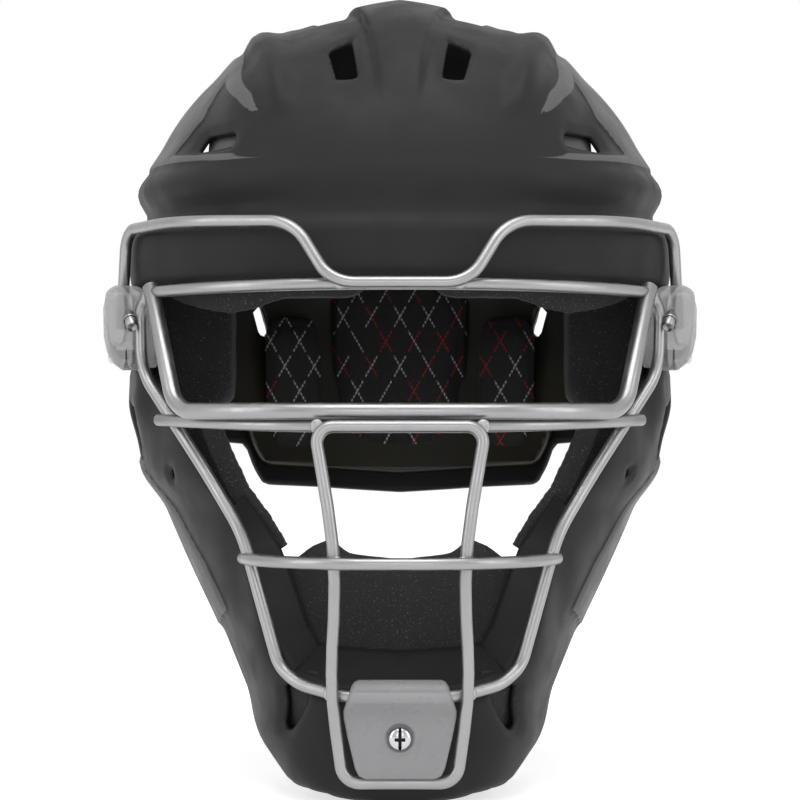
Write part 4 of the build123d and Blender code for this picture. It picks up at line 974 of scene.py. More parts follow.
def smooth_outline(rows, step):
    """A closed outline through rows, eased by three rounds of corner cutting, then spaced evenly."""
    points = np.array(rows, float)
    for _ in range(3):
        after = np.roll(points, -1, 0)
        points = np.stack((points * 0.75 + after * 0.25, points * 0.25 + after * 0.75), 1).reshape(-1, 2)
    ends = np.concatenate((points, points[:1]))
    run = np.concatenate(([0], np.cumsum(np.linalg.norm(np.diff(ends, axis=0), axis=1))))
    at = np.linspace(0, run[-1], max(12, int(run[-1] / step)), endpoint=False)
    return np.stack([np.interp(at, run, ends[:, k]) for k in range(2)], 1)


def capped(rings):
    """A closed skin over a stack of closed rings, each end shut by a fan to its mean point."""
    rows, columns = rings.shape[:2]
    faces = triangles_of(grid_faces(rows, columns, close_v=True))
    n, k = rows * columns, np.arange(columns)
    after = np.roll(k, -1)
    points = np.concatenate((rings.reshape(-1, 3), rings[[0, -1]].mean(1)))
    first = np.stack((after, k, np.full(columns, n)), 1)
    last = np.stack((n - columns + k, n - columns + after, np.full(columns, n + 1)), 1)
    return points, np.concatenate((faces, first, last))


def side_clip(material):
    """Saddle clip: its front outline grown from the middle, raised in a lobe and carried back."""
    outline = smooth_outline(CLIP_OUTLINE_MM, 0.45) / 1000
    low, high = outline[:, 0].min(), outline[:, 0].max()
    over = 1 - CLIP_ROUND
    grow = np.concatenate((np.linspace(0.04, CLIP_ROUND, 26),
                           CLIP_ROUND + over * np.sin(np.linspace(0.1, math.pi / 2, 7))))
    front = CLIP_FRONT + CLIP_ROUND_DEEP * (1 - np.sqrt(1 - np.clip((grow - CLIP_ROUND) / over, 0, 1)**2))
    t = np.linspace(0, 1, 26)[1:]
    size = np.concatenate((grow, 1 - CLIP_TAIL_IN * np.clip((t - CLIP_TAIL) / (1 - CLIP_TAIL), 0, 1)**2))
    y = np.concatenate((front, front[-1] + (CLIP_BACK - front[-1]) * t))
    shape = CLIP_MIDDLE + (outline - CLIP_MIDDLE)[None] * size[:, None, None]
    x, z = shape[..., 0], shape[..., 1]
    depth = y[:, None] + 0 * x
    lobe = smooth(inside(x, z, smooth_outline(CLIP_LOBE_MM, 0.6) / 1000), *CLIP_LOBE_SIDE)
    depth = depth - CLIP_LOBE_RAISE * lobe * (depth < CLIP_FRONT + CLIP_ROUND_DEEP + 0.0001)
    reach = smooth(depth, *CLIP_NECK)
    inner = low * (1 - reach) + (skin_yz(depth, z)[..., 0] + CLIP_SEAT) * reach
    share = np.clip((x - low) / (high - low), 0, 1)
    square = smooth(depth, *CLIP_SQUARE) * smooth(size, *CLIP_SQUARE_OUT)[:, None]
    share = share + (np.maximum(share, smooth(share, *CLIP_CORNER)) - share) * square
    side = np.interp(z, *(np.array(CLIP_SIDE_MM) / 1000).T)
    outer = high + (side - high) * np.clip((depth - CLIP_FRONT) / CLIP_WIDEN, 0, 1)
    half = capped(np.stack((inner + share * (outer - inner), depth, z), -1))
    for name, mesh in (("left", half), ("right", mirrored(*half))):
        helmet_piece(new_piece("saddle_clip_" + name, *mesh, material), "clip", "side_clip_" + name)


# Chin clip: half width by height, in millimetres up and across
CHIN_CLIP_ROWS_MM = ((-140.9, 13.0), (-139.9, 15.0), (-137.2, 16.3), (-126, 19.0), (-119, 20.4),
                     (-116.4, 20.5), (-113.2, 19.5), (-110, 18.4), (-107.6, 17.6), (-106.1, 16.6),
                     (-105.4, 15.2))
CHIN_SCREW_HEIGHT, CHIN_PLATE, CHIN_HEAD, CHIN_RISE = -0.126, 0.0042, 0.0041, 0.0024
SPOT_RADIUS, SPOT_DEEP, SPOT_RIM, SPOT_RIM_WIDE = 0.0051, 0.0011, 0.0004, 0.0006
FOLD_DEPTH, FOLD_RISE, FOLD_NOSE, FOLD_REST, FOLD_FADE = 0.0045, 0.0063, 0.0014, 0.003, (-0.118, -0.112)
THIN_EDGE, THIN_REACH = 0.45, 0.10


def chin_clip(material, wire):
    """Plate on the chin: a slab's side profile, folded over the jaw wire and carried across its width."""
    rows = np.array(CHIN_CLIP_ROWS_MM) / 1000
    front = float(skin_xz(0.0, CHIN_SCREW_HEIGHT)[1]) - CHIN_PLATE
    up = np.linspace(rows[0, 0], wire[2], 70)
    near = smooth(up, wire[2] - 1.6 * FOLD_DEPTH, wire[2] - 0.3 * FOLD_DEPTH)
    face = front + (min(wire[1] - FOLD_DEPTH, front) - front) * near
    turn = np.linspace(math.radians(4), math.radians(176), 26)
    over = np.stack((wire[1] - FOLD_DEPTH * np.cos(turn) + FOLD_NOSE * np.sin(turn)**2,
                     wire[2] + FOLD_RISE * np.sin(turn)), 1)
    down = np.linspace(wire[2] - 0.0006, rows[0, 0], 44)
    rear = np.where(down > wire[2] - FOLD_REST, wire[1] + FOLD_DEPTH, skin_xz(0.0, down)[:, 1] - CLIP_SEAT)
    profile = np.concatenate((np.stack((face, up), 1), over, np.stack((rear, down), 1)))
    across = np.sin(np.linspace(-math.pi / 2, math.pi / 2, 69))
    near_side = 1 - np.clip((1 - np.abs(across)) / THIN_REACH, 0, 1)
    thin = THIN_EDGE + (1 - THIN_EDGE) * np.sqrt(1 - near_side**2)
    x = across[:, None] * np.interp(profile[:, 1], rows[:, 0], rows[:, 1])[None]
    y, z = profile[None, :, 0] + 0 * x, profile[None, :, 1] + 0 * x
    core = front + CHIN_PLATE / 2
    core = core + max(wire[1] - core, 0) * smooth(z, *FOLD_FADE)
    y = core + (y - core) * thin[:, None]
    spot = np.hypot(x, z - CHIN_SCREW_HEIGHT) - SPOT_RADIUS
    ahead = (np.arange(len(profile)) < len(up))[None]
    rim = np.exp(-((spot - 0.0005) / SPOT_RIM_WIDE)**2) * SPOT_RIM
    y = y + ahead * ((1 - smooth(spot, -0.0004, 0)) * SPOT_DEEP - rim)
    plate = new_piece("chin_clip_plate", *capped(np.stack((x, y, z), -1)), material)
    helmet_piece(plate, "clip", "chin_clip")


SLOT_HALF, SLOT_EASE, SHORT_SLOT, SLOT_DEEP, HEAD_SKIRT = 0.00040, 0.00022, (0.0017, 0.0020), 0.0013, 0.0016


def screw_head(seat, top, normal, size, rise, shank=None):
    """Domed head with a slot crossed by a shorter one: a dome's height less the slots' depth; the slot mask
    also comes back for the painted shade in the slots.
    """
    share = np.linspace(0.02, 1, 34)[:, None]
    turn = np.linspace(0, 2 * math.pi, 72, endpoint=False)[None]
    radius = size * share
    a, b = radius * np.cos(turn), radius * np.sin(turn)
    dome = rise * np.sqrt(np.maximum(1 - (0.94 * share)**2, 0)) + 0 * turn
    long_slot = 1 - smooth(np.abs(a), SLOT_HALF, SLOT_HALF + SLOT_EASE)
    short_slot = 1 - smooth(np.abs(b), SLOT_HALF + 0.00005, SLOT_HALF + 0.00028)
    slot_and_shade = np.maximum(long_slot, short_slot * (1 - smooth(np.abs(a), *SHORT_SLOT)))
    dome = dome - SLOT_DEEP * slot_and_shade * (1 - smooth(radius, 0.83 * size, 0.98 * size))
    rings = seat + a[..., None] * np.cross(top, normal) + b[..., None] * top + dome[..., None] * normal
    rings = [*rings, rings[-1] - HEAD_SKIRT * normal]
    if shank:
        thin, long = shank
        middle = rings[-1].mean(0)
        rings.append(middle + (rings[-1] - middle) * (thin / size))
        rings.append(rings[-1] - long * normal)
    points, faces = capped(np.array(rings))
    rest = np.zeros(len(points) - slot_and_shade.size - 2)
    return points, faces, np.concatenate((slot_and_shade.ravel(), rest, (1.0, 0.0)))


def screws(material):
    """The chin clip's screw, and the two that hold the side clips, let into them."""
    seat = skin_xz(0.0, CHIN_SCREW_HEIGHT)
    up = unit(skin_xz(0.0, CHIN_SCREW_HEIGHT + 0.0005) - seat)
    normal = np.array((0.0, -up[2], up[1]))
    seat = seat + (CHIN_PLATE + SEAT_GAP) * normal
    points, faces, slot_and_shade = screw_head(seat, up, normal, CHIN_HEAD, CHIN_RISE)
    chin = new_piece("chin_screw_head", points, faces, material)
    # The slot mask goes on the head's vertices, where the material paints shade into the slots
    paint(chin, "slot_and_shade", slot_and_shade)
    helmet_piece(chin, "screw", "chin_clip_screw")
    points, faces, slot_and_shade = screw_head(SCREW_SEAT, np.array((0.0, 0.0, 1.0)), SCREW_OUT, SIDE_HEAD, SIDE_RISE,
                                       (SHANK_RADIUS, SHANK_LONG))
    pair = new_piece("side_clip_screw_pair", *merged((points, faces), mirrored(points, faces)), material)
    # The slot mask goes on both heads' vertices, where the material paints shade into the slots
    paint(pair, "slot_and_shade", np.tile(slot_and_shade, 2))
    helmet_piece(pair, "screw", "side_clip_screws")


# Rear plate, its foam sheet and the straps

PLATE_GAP, PLATE_INSET, PLATE_WALL, PLATE_FOAM, FOAM_MARGIN = 0.0072, 0.001, 0.003, 0.004, 0.008
PLATE_LOW, PLATE_STEP, PLATE_COLUMNS = -0.052, 0.0028, 300
PAD_GAP, SEAT_GAP = 0.0003, 0.0003
PLATE_LOW_SHARES = ((0.0, -0.295, 0.0), (0.574, -0.269, 0.6), (0.611, -0.218, 0.3), (0.648, -0.154, 0.3),
                    (0.815, -0.141, 0.6), (1.20, -0.141, 0.0))
PLATE_SLOT = (0.0648, 0.0312, 0.015, 0.005)
PANEL_EDGE, PANEL_HALF, PANEL_FLOOR, PANEL_DEEP = (0.012, 0.015), (0.064, 0.060), (-0.030, -0.026), 0.0007
RIB_FOOT, RIB_LEAN, RIB_WIDE, RIB_RAISE, RIB_EDGE = 0.030, 0.10, 0.0035, 0.0011, (0.016, 0.024)
STRAP_WIDTH, STRAP_THICK, STRAP_REACH, SIDE_STRAP_SHARE, SIDE_STRAP_PLACE = 0.025, 0.0018, 0.022, 0.80, 0.36
STRAP_CORNER, STRAP_STRETCH, STRAP_GRID = 0.005, 0.16, (26, 17)
TOP_RIVET_ABOVE, TOP_RIVET_BELOW = 0.0165, 0.0253
STRAP_SPLIT, PLATE_EDGE = 0.0985, 0.0950
SELVEDGE, SELVEDGE_THIN, WEFT_RAISE, WEFT_PITCH = 0.86, 0.0004, 0.00010, 0.0024


def plate_field(p, margin=0.0):
    """Signed distance to the plate's edge, positive on it: the least over its outlines and its slots."""
    x, y, z = np.abs(p[:, 0]), p[:, 1], p[:, 2]
    rows = [(a + PLATE_GAP + margin, b - margin * (k < 2), r)
            for k, (a, b, r) in enumerate(lengths(TRIM_SHARES, BACK_REACH, CROWN)[:5])]
    rows += [(rows[-1][0], -JAW_DEPTH, 0.0), (rows[0][0], -JAW_DEPTH, 0.0)]
    low = [(a, b + margin, r) for a, b, r in lengths(PLATE_LOW_SHARES, HALF_WIDTH, CROWN)]
    front = rounded_rows(both(low + [(low[-1][0], 2 * CROWN, 0.0)]))
    parts = [inside(y, z, rounded_rows(rows)), inside(x, z, front),
             np.where(y > 0, -slot(x, z, *PLATE_SLOT), 1.0), np.where(y > 0.02, 1.0, -1.0)]
    return np.min(parts, axis=0)


def plate_sheet(inset, wall, margin, relief):
    """The skin's grid at an inset, raised by a relief and cut to the plate's outline, with its wall."""
    points, triangles = skin_grid(skin_levels(PLATE_LOW, PLATE_STEP), PLATE_COLUMNS, inset)
    field = plate_field(points, margin)
    normals = normals_of(points, triangles)
    raised = points + normals * relief(points, field)[:, None]
    outer, faces, inner = clipped(raised, triangles, field, points - normals * wall)
    return walled(outer, inner, faces)


def plate_relief(p, field):
    """The plate's edge rounds off, and a shallow panel lies between two ribs over its back."""
    x, z = np.abs(p[:, 0]), p[:, 2]
    round_off = -0.0011 * np.clip(1 - field / 0.0028, 0, 1)**2
    panel = smooth(field, *PANEL_EDGE) * smooth(x, *PANEL_HALF) * smooth(z, *PANEL_FLOOR)
    rib = np.exp(-((x - RIB_FOOT - RIB_LEAN * np.clip(z, 0, 1)) / RIB_WIDE)**2) * smooth(field, *RIB_EDGE)
    return round_off - PANEL_DEEP * panel + RIB_RAISE * rib


def foam_relief(p, field):
    """The foam sheet's edge rounds down."""
    return -0.0013 * np.clip(1 - field / 0.0024, 0, 1)**2


def rear_plate(shell, foam):
    """The plate behind the head and the foam sheet inside it."""
    plate = new_piece("nape_plate", *plate_sheet(PLATE_INSET, PLATE_WALL, 0.0, plate_relief), shell)
    paint(plate, "inlay", np.full(len(plate.data.vertices), NO_INLAY))
    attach(plate, "rear_plate")
    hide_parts("rear_plate")
    inset, wall, margin = PLATE_INSET + PLATE_WALL + PAD_GAP, PLATE_FOAM - 0.0002, FOAM_MARGIN + 0.0004
    sheet = new_piece("nape_plate_foam", *plate_sheet(inset, wall, margin, foam_relief), foam)
    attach(sheet, "rear_plate")
    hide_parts("rear_plate_foam")


def slab(outer, inner):
    """A closed sheet between two grids of points, with its four edges walled."""
    rows, columns = outer.shape[:2]
    quads = grid_faces(rows, columns)
    n = rows * columns
    index = np.arange(n).reshape(rows, columns)
    rim = np.concatenate((index[0, :], index[1:, -1], index[-1, -2::-1], index[-2:0:-1, 0]))
    after = np.roll(rim, -1)
    walls = np.stack((rim, rim + n, after + n, after), 1)
    faces = np.concatenate((quads, quads[:, ::-1] + n, walls))
    return np.concatenate((outer.reshape(-1, 3), inner.reshape(-1, 3))), faces


def webbing(place, long, start, end):
    """A strap's surface from place(d, f, lift), with thinner sewn edges and rounded ends."""
    rows, columns = STRAP_GRID
    d = np.linspace(start, end, rows)[:, None] * long
    near = np.maximum(STRAP_CORNER - np.minimum(d, long - d), 0)
    rounding = STRAP_CORNER - np.sqrt(np.maximum(STRAP_CORNER**2 - near**2, 0))
    share = np.linspace(-1, 1, columns)[None]
    f = share * (STRAP_WIDTH / 2 - 0.0002 - rounding)
    thin = SELVEDGE_THIN * np.clip((np.abs(share) - SELVEDGE) / (1 - SELVEDGE), 0, 1)**2
    weave = WEFT_RAISE * np.cos(d * 2 * math.pi / WEFT_PITCH) * (np.abs(share) < SELVEDGE)
    outer = place(d, f, SEAT_GAP + STRAP_THICK - 0.0002 - thin + weave)
    points, faces = slab(outer, place(d, f, SEAT_GAP + 0.0001 + 0 * f))
    return points, faces, np.tile((d + 0 * f).ravel(), 2), np.tile((f + 0 * d).ravel(), 2)


def strap_piece(name, mesh, material, node, bodies, start, end):
    """A length of webbing as a piece, its place put into its mesh and its node hidden; the bodies and the two
    points are not used.
    """
    points, faces, along, over = mesh
    piece = new_piece(name, points, faces, material)
    paint(piece, "along", along)
    paint(piece, "over", over)
    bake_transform(piece)
    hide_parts(node)


def straps(material):
    """Three elastic straps on the shell and the plate, each in two lengths that meet end to end."""
    low_edge, high_edge = (np.array(row[:2]) for row in lengths(TRIM_SHARES[2:0:-1], BACK_REACH, CROWN))
    high, low = high_edge[1] + TOP_RIVET_ABOVE, high_edge[1] - TOP_RIVET_BELOW
    top = high + STRAP_WIDTH / 2
    long = top - low + STRAP_WIDTH / 2

    def top_place(d, f, lift):
        """Down the back's middle line, lifted along the skin's lean."""
        z = top - d
        half, _, back, centre = skin_level(z + 0 * f)
        x = f + 0 * z
        y = centre + (back - centre) * (1 - np.abs(x / half)**BACK_POWER)**(1 / BACK_POWER)
        nose = np.arctan2(np.clip(z - SPRING, 0, 1), CROWN - SPRING)
        return np.stack((x, y + lift * np.cos(nose), z + lift * np.sin(nose)), -1)

    def top_spot(z):
        """A place on the back's middle line."""
        return tuple(float(c) for c in skin_xz(0.0, z, rear=True))

    split = (top - STRAP_SPLIT) / long
    for part, start, end, bodies, reach in (
            ("upper", 0.0, split, ("helmet", "top_strap"), (high - 0.004, STRAP_SPLIT)),
            ("lower", split, 1.0, ("top_strap", "rear_plate"), (STRAP_SPLIT, PLATE_EDGE))):
        strap_piece("top_webbing_" + part, webbing(top_place, long, start, end), material,
                    "top_strap", bodies, top_spot(reach[0]), top_spot(reach[1]))

    a, b = low_edge + (PLATE_GAP / 2, 0), high_edge + (PLATE_GAP / 2, 0)
    middle = a + (b - a) * SIDE_STRAP_PLACE
    square = unit(np.array(((b - a)[1], -(b - a)[0])))
    first = middle - square * (STRAP_REACH + STRAP_WIDTH / 2)
    last = middle + square * (STRAP_REACH * SIDE_STRAP_SHARE + STRAP_WIDTH * SIDE_STRAP_SHARE / 3)
    across = np.array((-square[1], square[0]))
    side_long = float(np.linalg.norm(last - first))
    half_at = float(np.linalg.norm(middle - first)) / side_long

    def side_place(d, f, lift):
        """Square to the gap at the side, lifted outwards, and back where the skin turns to the rear."""
        yz = first + d[..., None] * square + f[..., None] * across
        out = skin_yz(yz[..., 0], yz[..., 1])
        lean = np.clip(yz[..., 0] / BACK_REACH, 0, 1)**1.6
        out[..., 0] += lift * np.sqrt(1 - (lean * 0.9)**2)
        out[..., 1] += lift * lean * 0.9
        return out

    def side_spot(share):
        """A place on the side strap's middle line, at a share of its length."""
        return skin_yz(*(first + square * (share * side_long)))

    for name, sign in (("left", 1), ("right", -1)):
        for part, start, end, bodies, reach in (
                ("front", 0.0, half_at, ("helmet", "top_strap"), (half_at - STRAP_STRETCH, half_at)),
                ("rear", half_at, 1.0, ("top_strap", "rear_plate"), (half_at, half_at + STRAP_STRETCH))):
            points, faces, along, over = webbing(side_place, side_long, start, end)
            sheet = (points * (sign, 1, 1), faces[:, ::sign], along, over)
            spots = [tuple(float(c) for c in side_spot(share) * (sign, 1, 1)) for share in reach]
            strap_piece("side_webbing_" + part + "_" + name, sheet, material, "side_strap_" + name,
                        bodies, *spots)


# Pads

def soft_copy(node, name, material, voxel, rounds):
    """A pad from its solid: shut into even cells, then each point eased towards its neighbours in rounds."""
    mesh = bpy.data.objects[node].data.copy()
    mesh.name = name
    piece = bpy.data.objects.new(name, mesh)
    bpy.context.scene.collection.objects.link(piece)
    weld = piece.modifiers.new("merge", "WELD")
    weld.merge_threshold = 0.00002
    cells = piece.modifiers.new("cells", "REMESH")
    cells.mode, cells.voxel_size, cells.use_smooth_shade = "VOXEL", voxel, True
    ease = piece.modifiers.new("ease", "SMOOTH")
    ease.factor, ease.iterations = 0.5, rounds
    apply_all(piece)
    piece.data.materials.clear()
    piece.data.materials.append(material)
    return piece


def apply_all(piece):
    """Put what the modifiers make into the mesh, and drop them."""
    graph = bpy.context.evaluated_depsgraph_get()
    made = bpy.data.meshes.new_from_object(piece.evaluated_get(graph), depsgraph=graph)
    piece.modifiers.clear()
    piece.data = made


def points_of(piece):
    """The piece's vertices as an array."""
    values = np.empty(len(piece.data.vertices) * 3, np.float32)
    piece.data.vertices.foreach_get("co", values)
    return values.reshape(-1, 3).astype(float)


def set_points(piece, points):
    """Put an array of places into the piece's vertices."""
    piece.data.vertices.foreach_set("co", np.asarray(points, np.float32).ravel())
    piece.data.update()


def puffed(piece, pressure, cap):
    """Cloth with air in it for twenty frames; no point ends further from its start than the cap."""
    start = points_of(piece)
    cloth = piece.modifiers.new("air", "CLOTH")
    cloth.settings.use_pressure = True
    cloth.settings.uniform_pressure_force = pressure
    cloth.settings.effector_weights.gravity = 0
    cloth.settings.quality = 6
    cloth.settings.tension_stiffness = cloth.settings.compression_stiffness = 12
    cloth.settings.bending_stiffness = 2
    cloth.point_cache.frame_start, cloth.point_cache.frame_end = 1, 20
    for k in range(1, 21):
        bpy.context.scene.frame_set(k)
    apply_all(piece)
    bpy.context.scene.frame_set(1)
    moved = points_of(piece) - start
    far = np.linalg.norm(moved, axis=1, keepdims=True)
    set_points(piece, start + moved * np.minimum(1, cap / np.maximum(far, 1e-9)))


FOAM_PADS = ("brow_pad_left", "brow_pad_right", "temple_pad_left", "temple_pad_right", "jaw_pad_left",
             "jaw_pad_right", "chin_pad", "crown_pad", "side_crown_pad_left", "side_crown_pad_right",
             "rear_pad")
TEMPLE_DROP, FOAM_CELL, FOAM_WAVE = 0.006, 0.0022, 0.00022
LINER_STRETCH = {"nape_pad": (-0.0355, 0.0577), "side_nape_pad_left": (-0.0290, 0.0350),
                 "side_nape_pad_right": (-0.0290, 0.0350)}
LINER_CELL, LINER_SHRINK, LINER_AIR, LINER_CAP = 0.004, 0.97, 4.0, 0.0020
HEM_SHARE, HEM_WIDE, HEM_DEEP = 0.86, 0.045, 0.0014

# Foam that shows past the shell's edges: ranges in metres, edges in millimetres
VENT_BACKING, BACKING_SWELL = ((0.45, 0.965), (-0.1315, -0.1035), 0.0050), (0.5, 0.9)
FLANK_PAD = ((0.056, 0.0745), (0.087, 0.107), 0.0045, 0.004)
BROW_STRIP_MM = ((24, 39.6), (34, 37.6), (46.8, 33.6), (56, 30.6), (63.7, 29.2), (72, 30.2), (84, 33.4),
                 (92, 37.5))
BROW_STRIP_TOP, BROW_STRIP_DEEP, BROW_BULGE, BROW_BULGE_RISE = 0.046, 0.010, 0.0016, 0.004
JAW_STRIP_MM = ((47.2, -119.5, -61.5), (54.0, -116.5, -50.5), (62.2, -112.0, -40.0), (70.0, -106.0, -24.0),
                (76.5, -98.0, -8.0))
JAW_STRIP_WIDE, JAW_STRIP_DEEP, JAW_STRIP_FAR, JAW_STRIP_ROUND = 0.0052, 0.012, 0.0024, 0.0012
STRIP_GAP = 0.0004


def foam_pads(material):
    """Cut foam blocks: edges eased by a millimetre or two, faces left with the cut's slight waviness."""
    for node in FOAM_PADS:
        piece = soft_copy(node, node + "_foam", material, FOAM_CELL, 3)
        p = points_of(piece)
        if node.startswith("temple"):
            top = p[:, 2].max()
            p[:, 2] = top - (top - p[:, 2]) * (1 + TEMPLE_DROP / (top - p[:, 2].min()))
        wave = np.sin(p[:, 0] * 410 + 1.3) * np.sin(p[:, 2] * 370 + 0.7) * np.sin(p[:, 1] * 330)
        away = unit(p - (p.min(0) + p.max(0)) / 2)
        set_points(piece, p + away * (FOAM_WAVE * (wave[:, None] - 1)))
        helmet_piece(piece, "foam", node)


def ragged(count, seed, size):
    """A cut edge's small unevenness: three sines whose phases come from the seed."""
    t = np.linspace(0, 1, count)
    return size * sum(np.sin(t * f + seed * f) for f in (37.0, 71.0, 133.0)) / 3


def strips(material, grey):
    """Foam that shows past the shell's edges: behind its vents, under the brow and along the jaw's return."""
    gap = WALL + STRIP_GAP
    (low, high), (bottom, top), thick = VENT_BACKING
    u = np.linspace(low, high, 24)[None]
    z = np.linspace(bottom, top, 30)[:, None] + 0 * u
    x = skin_level(z)[0] * u
    fuller = swell(np.stack((x, 0 * x, z), -1), *FULL_CHIN) * smooth(u, *BACKING_SWELL)
    fuller = fuller[..., None] * (1, 0, 0)
    backing = slab(skin_xz(x, z, inset=gap) + fuller, skin_xz(x, z, inset=gap + thick) + fuller)

    (low, high), (bottom, top), depth, thick = FLANK_PAD
    x, z = np.meshgrid(np.linspace(low, high, 18), np.linspace(bottom, top, 18))
    flank = slab(skin_xz(x, z, inset=WALL + depth), skin_xz(x, z, inset=WALL + depth + thick))

    edge = np.array(BROW_STRIP_MM) / 1000
    x = np.linspace(edge[0, 0], edge[-1, 0], 120)
    low_edge = np.interp(x, edge[:, 0], edge[:, 1]) + ragged(120, 0.7, 0.0003)
    t = np.linspace(0, 1, 16)[:, None]
    z = low_edge[None] * (1 - t) + BROW_STRIP_TOP * t
    x = x[None] + 0 * z
    bulge = BROW_BULGE * np.clip(1 - (z - low_edge[None]) / BROW_BULGE_RISE, 0, 1)**2
    outer = skin_xz(x, z, inset=gap + 2 * STRIP_GAP) + bulge[..., None] * (0, 1, 0)
    depth = skin_xz(x, z, inset=gap)[..., 1] + BROW_STRIP_DEEP
    brow = slab(outer, outer * (1, 0, 1) + depth[..., None] * (0, 1, 0))

    line = np.array(JAW_STRIP_MM) / 1000
    line = at_rows(np.linspace(0, len(line) - 1, 110), line)
    run = np.gradient(line, axis=0)
    side = unit(np.stack((-run[:, 2], 0 * run[:, 0], run[:, 0]), 1))
    side *= np.sign((side * (-1, 0, 0.3)).sum(1))[:, None]
    share = np.linspace(-JAW_STRIP_FAR / JAW_STRIP_WIDE, 1, 12)[None, :, None]
    width = (JAW_STRIP_WIDE + ragged(110, 0.3, 0.0002))[:, None, None]
    front = line[:, None] + side[:, None] * share * width
    front = front + (0, JAW_STRIP_ROUND, 0) * (np.clip(share - 0.7, 0, 1) / 0.3)**2
    jaw = slab(front, front + (0, JAW_STRIP_DEEP, 0))

    for name, half, skin_of in (("chin_vent_backing", backing, material), ("flank_vent_foam", flank, grey),
                                ("brow_strip", brow, material), ("jaw_strip", jaw, material)):
        for side_name, mesh in (("left", half), ("right", mirrored(*half))):
            piece = new_piece(name + "_" + side_name, *mesh, skin_of)
            helmet_piece(piece, "foam")


def liner_pads(material):
    """Covered pads on the plate, swollen by air between their sewn edges."""
    for node, (bottom, top) in LINER_STRETCH.items():
        piece = soft_copy(node, node + "_cover", material, LINER_CELL, 3)
        low, high = (np.array(c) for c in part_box(node))
        middle = (low + high) / 2
        middle[2] = (bottom + top) / 2
        p = points_of(piece)
        p[:, 2] = bottom + (p[:, 2] - low[2]) * (top - bottom) / (high[2] - low[2])
        set_points(piece, p)
        set_points(piece, middle + (points_of(piece) - middle) * LINER_SHRINK)
        puffed(piece, LINER_AIR, LINER_CAP)
        fine = piece.modifiers.new("fine", "SUBSURF")
        fine.levels = fine.render_levels = 1
        apply_all(piece)
        quilt(piece)
        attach(piece, "rear_plate")
        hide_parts(node)


def quilt(piece):
    """Sewn hem: points near the pad's outline in the front view sink a little towards the plate."""
    p = points_of(piece)
    low, high = p.min(0), p.max(0)
    middle, reach = (low + high) / 2, (high - low) / 2
    share = (((p - middle) / reach)[:, ::2]**4).sum(1)**0.25
    seam = np.exp(-((share - HEM_SHARE) / HEM_WIDE)**2)
    face = smooth(high[1] - p[:, 1], reach[1] * 0.5, reach[1])
    p[:, 1] += HEM_DEEP * seam * face
    set_points(piece, p)


# Camera and light

FLOOR, FLOOR_EDGE = -CHIN_DROP - 0.0006, 3.0
FLOOR_GLOW, WORLD_LIGHT = 0.62, 0.40
SOFT_BOXES = (("top_box", (0, -0.5, 1.5), (0, 0, 0.05), (1.2, 1.0), 15),
              ("left_box", (-1.5, -0.8, 0.6), (0, 0, 0), (0.7, 1.5), 7),
              ("right_box", (1.5, -0.8, 0.6), (0, 0, 0), (0.7, 1.5), 7),
              ("front_box", (0, -2.2, 0.5), (0, 0, -0.02), (1.6, 0.8), 6))


def camera():
    """The camera of the photograph, level with the ears."""
    data = bpy.data.cameras.new("camera")
    data.sensor_width = SENSOR_MM
    data.lens = FOCAL_PX / FRAME_PX * SENSOR_MM
    data.clip_start, data.clip_end = 0.05, 20.0
    view = bpy.data.objects.new("camera", data)
    view.location = (0, -CAMERA_DISTANCE, CAMERA_HEIGHT)
    view.rotation_euler = (math.radians(90), 0, 0)
    bpy.context.scene.collection.objects.link(view)
    bpy.context.scene.camera = view


def area_light(name, place, target, size, power):
    """A soft box that faces its target; power in watts."""
    data = bpy.data.lights.new(name, "AREA")
    data.shape = "RECTANGLE"
    data.size, data.size_y = size
    data.energy = power
    lamp = bpy.data.objects.new(name, data)
    lamp.location = place
    lamp.rotation_euler = (Vector(target) - Vector(place)).to_track_quat("-Z", "Y").to_euler()
    bpy.context.scene.collection.objects.link(lamp)


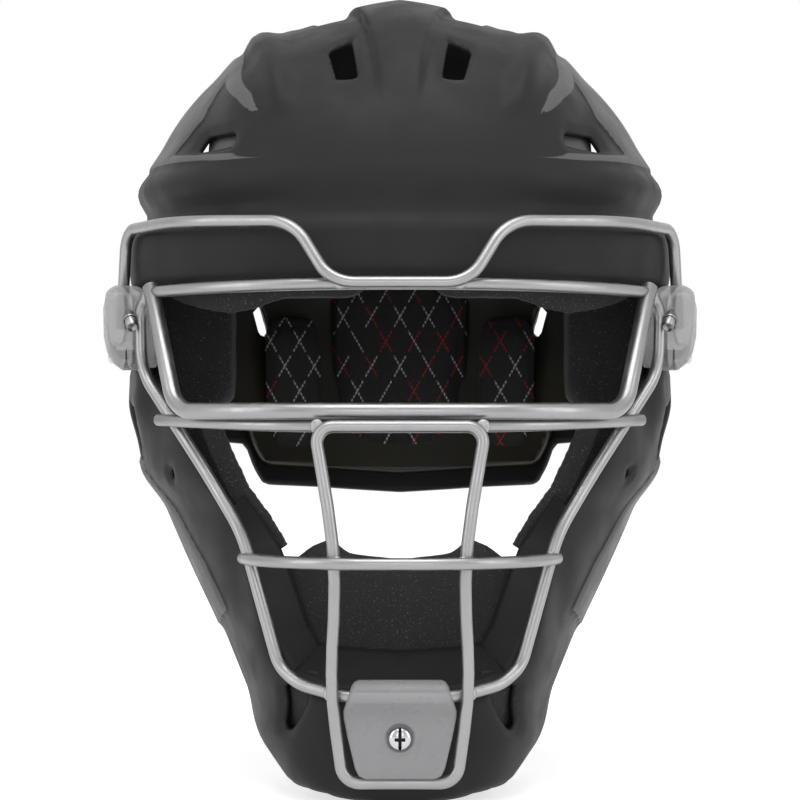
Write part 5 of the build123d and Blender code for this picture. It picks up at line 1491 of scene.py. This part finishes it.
def seen_level(nodes, links, unseen, seen):
    """One strength for the rays that the camera, gloss and glass look along, and another for the light."""
    rays = nodes.new("ShaderNodeLightPath")
    total = rays.outputs["Is Camera Ray"]
    for name in ("Is Glossy Ray", "Is Transmission Ray"):
        larger = nodes.new("ShaderNodeMath")
        larger.operation = "MAXIMUM"
        links.new(total, larger.inputs[0])
        links.new(rays.outputs[name], larger.inputs[1])
        total = larger.outputs[0]
    level = nodes.new("ShaderNodeMapRange")
    links.new(total, level.inputs["Value"])
    level.inputs["To Min"].default_value = unseen
    level.inputs["To Max"].default_value = seen
    return level.outputs[0]


def studio():
    """White world and floor as the camera sees them, soft boxes above, at both sides and in front."""
    world = bpy.data.worlds.new("studio")
    bpy.context.scene.world = world
    world.use_nodes = True
    nodes, links = world.node_tree.nodes, world.node_tree.links
    background = nodes["Background"]
    background.inputs["Color"].default_value = (1, 1, 1, 1)
    links.new(seen_level(nodes, links, WORLD_LIGHT, 1.0), background.inputs["Strength"])

    for box in SOFT_BOXES:
        area_light(*box)

    floor_material = principled("floor_white", (0.93, 0.93, 0.93), 0.9)
    nodes, links = floor_material.node_tree.nodes, floor_material.node_tree.links
    shader = nodes["Principled BSDF"]
    shader.inputs["Emission Color"].default_value = (1, 1, 1, 1)
    links.new(seen_level(nodes, links, 0.0, FLOOR_GLOW), shader.inputs["Emission Strength"])
    corners = [(x * FLOOR_EDGE, y * FLOOR_EDGE, FLOOR) for x, y in ((-1, -1), (1, -1), (1, 1), (-1, 1))]
    floor = new_piece("floor", corners, [(0, 1, 2, 3)], floor_material, closed=False)


camera()
shell_plastic = shell_material()
clip_plastic, foam, screw = frosted_clip(), black_foam(), bright_screw()
main_shell(shell_plastic)
jaw_start = cage(satin_steel(), weld_steel())
side_clip(clip_plastic)
chin_clip(clip_plastic, jaw_start)
screws(screw)
rear_plate(shell_plastic, olive_foam())
straps(woven_elastic())
foam_pads(foam)
strips(foam, grey_foam())
liner_pads(lozenge_knit())
for node in ("side_clip_nuts", "chin_clip_nut"):
    finish_node(node, screw)
for node in ("shell_strap_rivets", "plate_strap_rivets"):
    finish_node(node, rivet_plastic())
studio()
bpy.context.scene.view_settings.view_transform = "Standard"
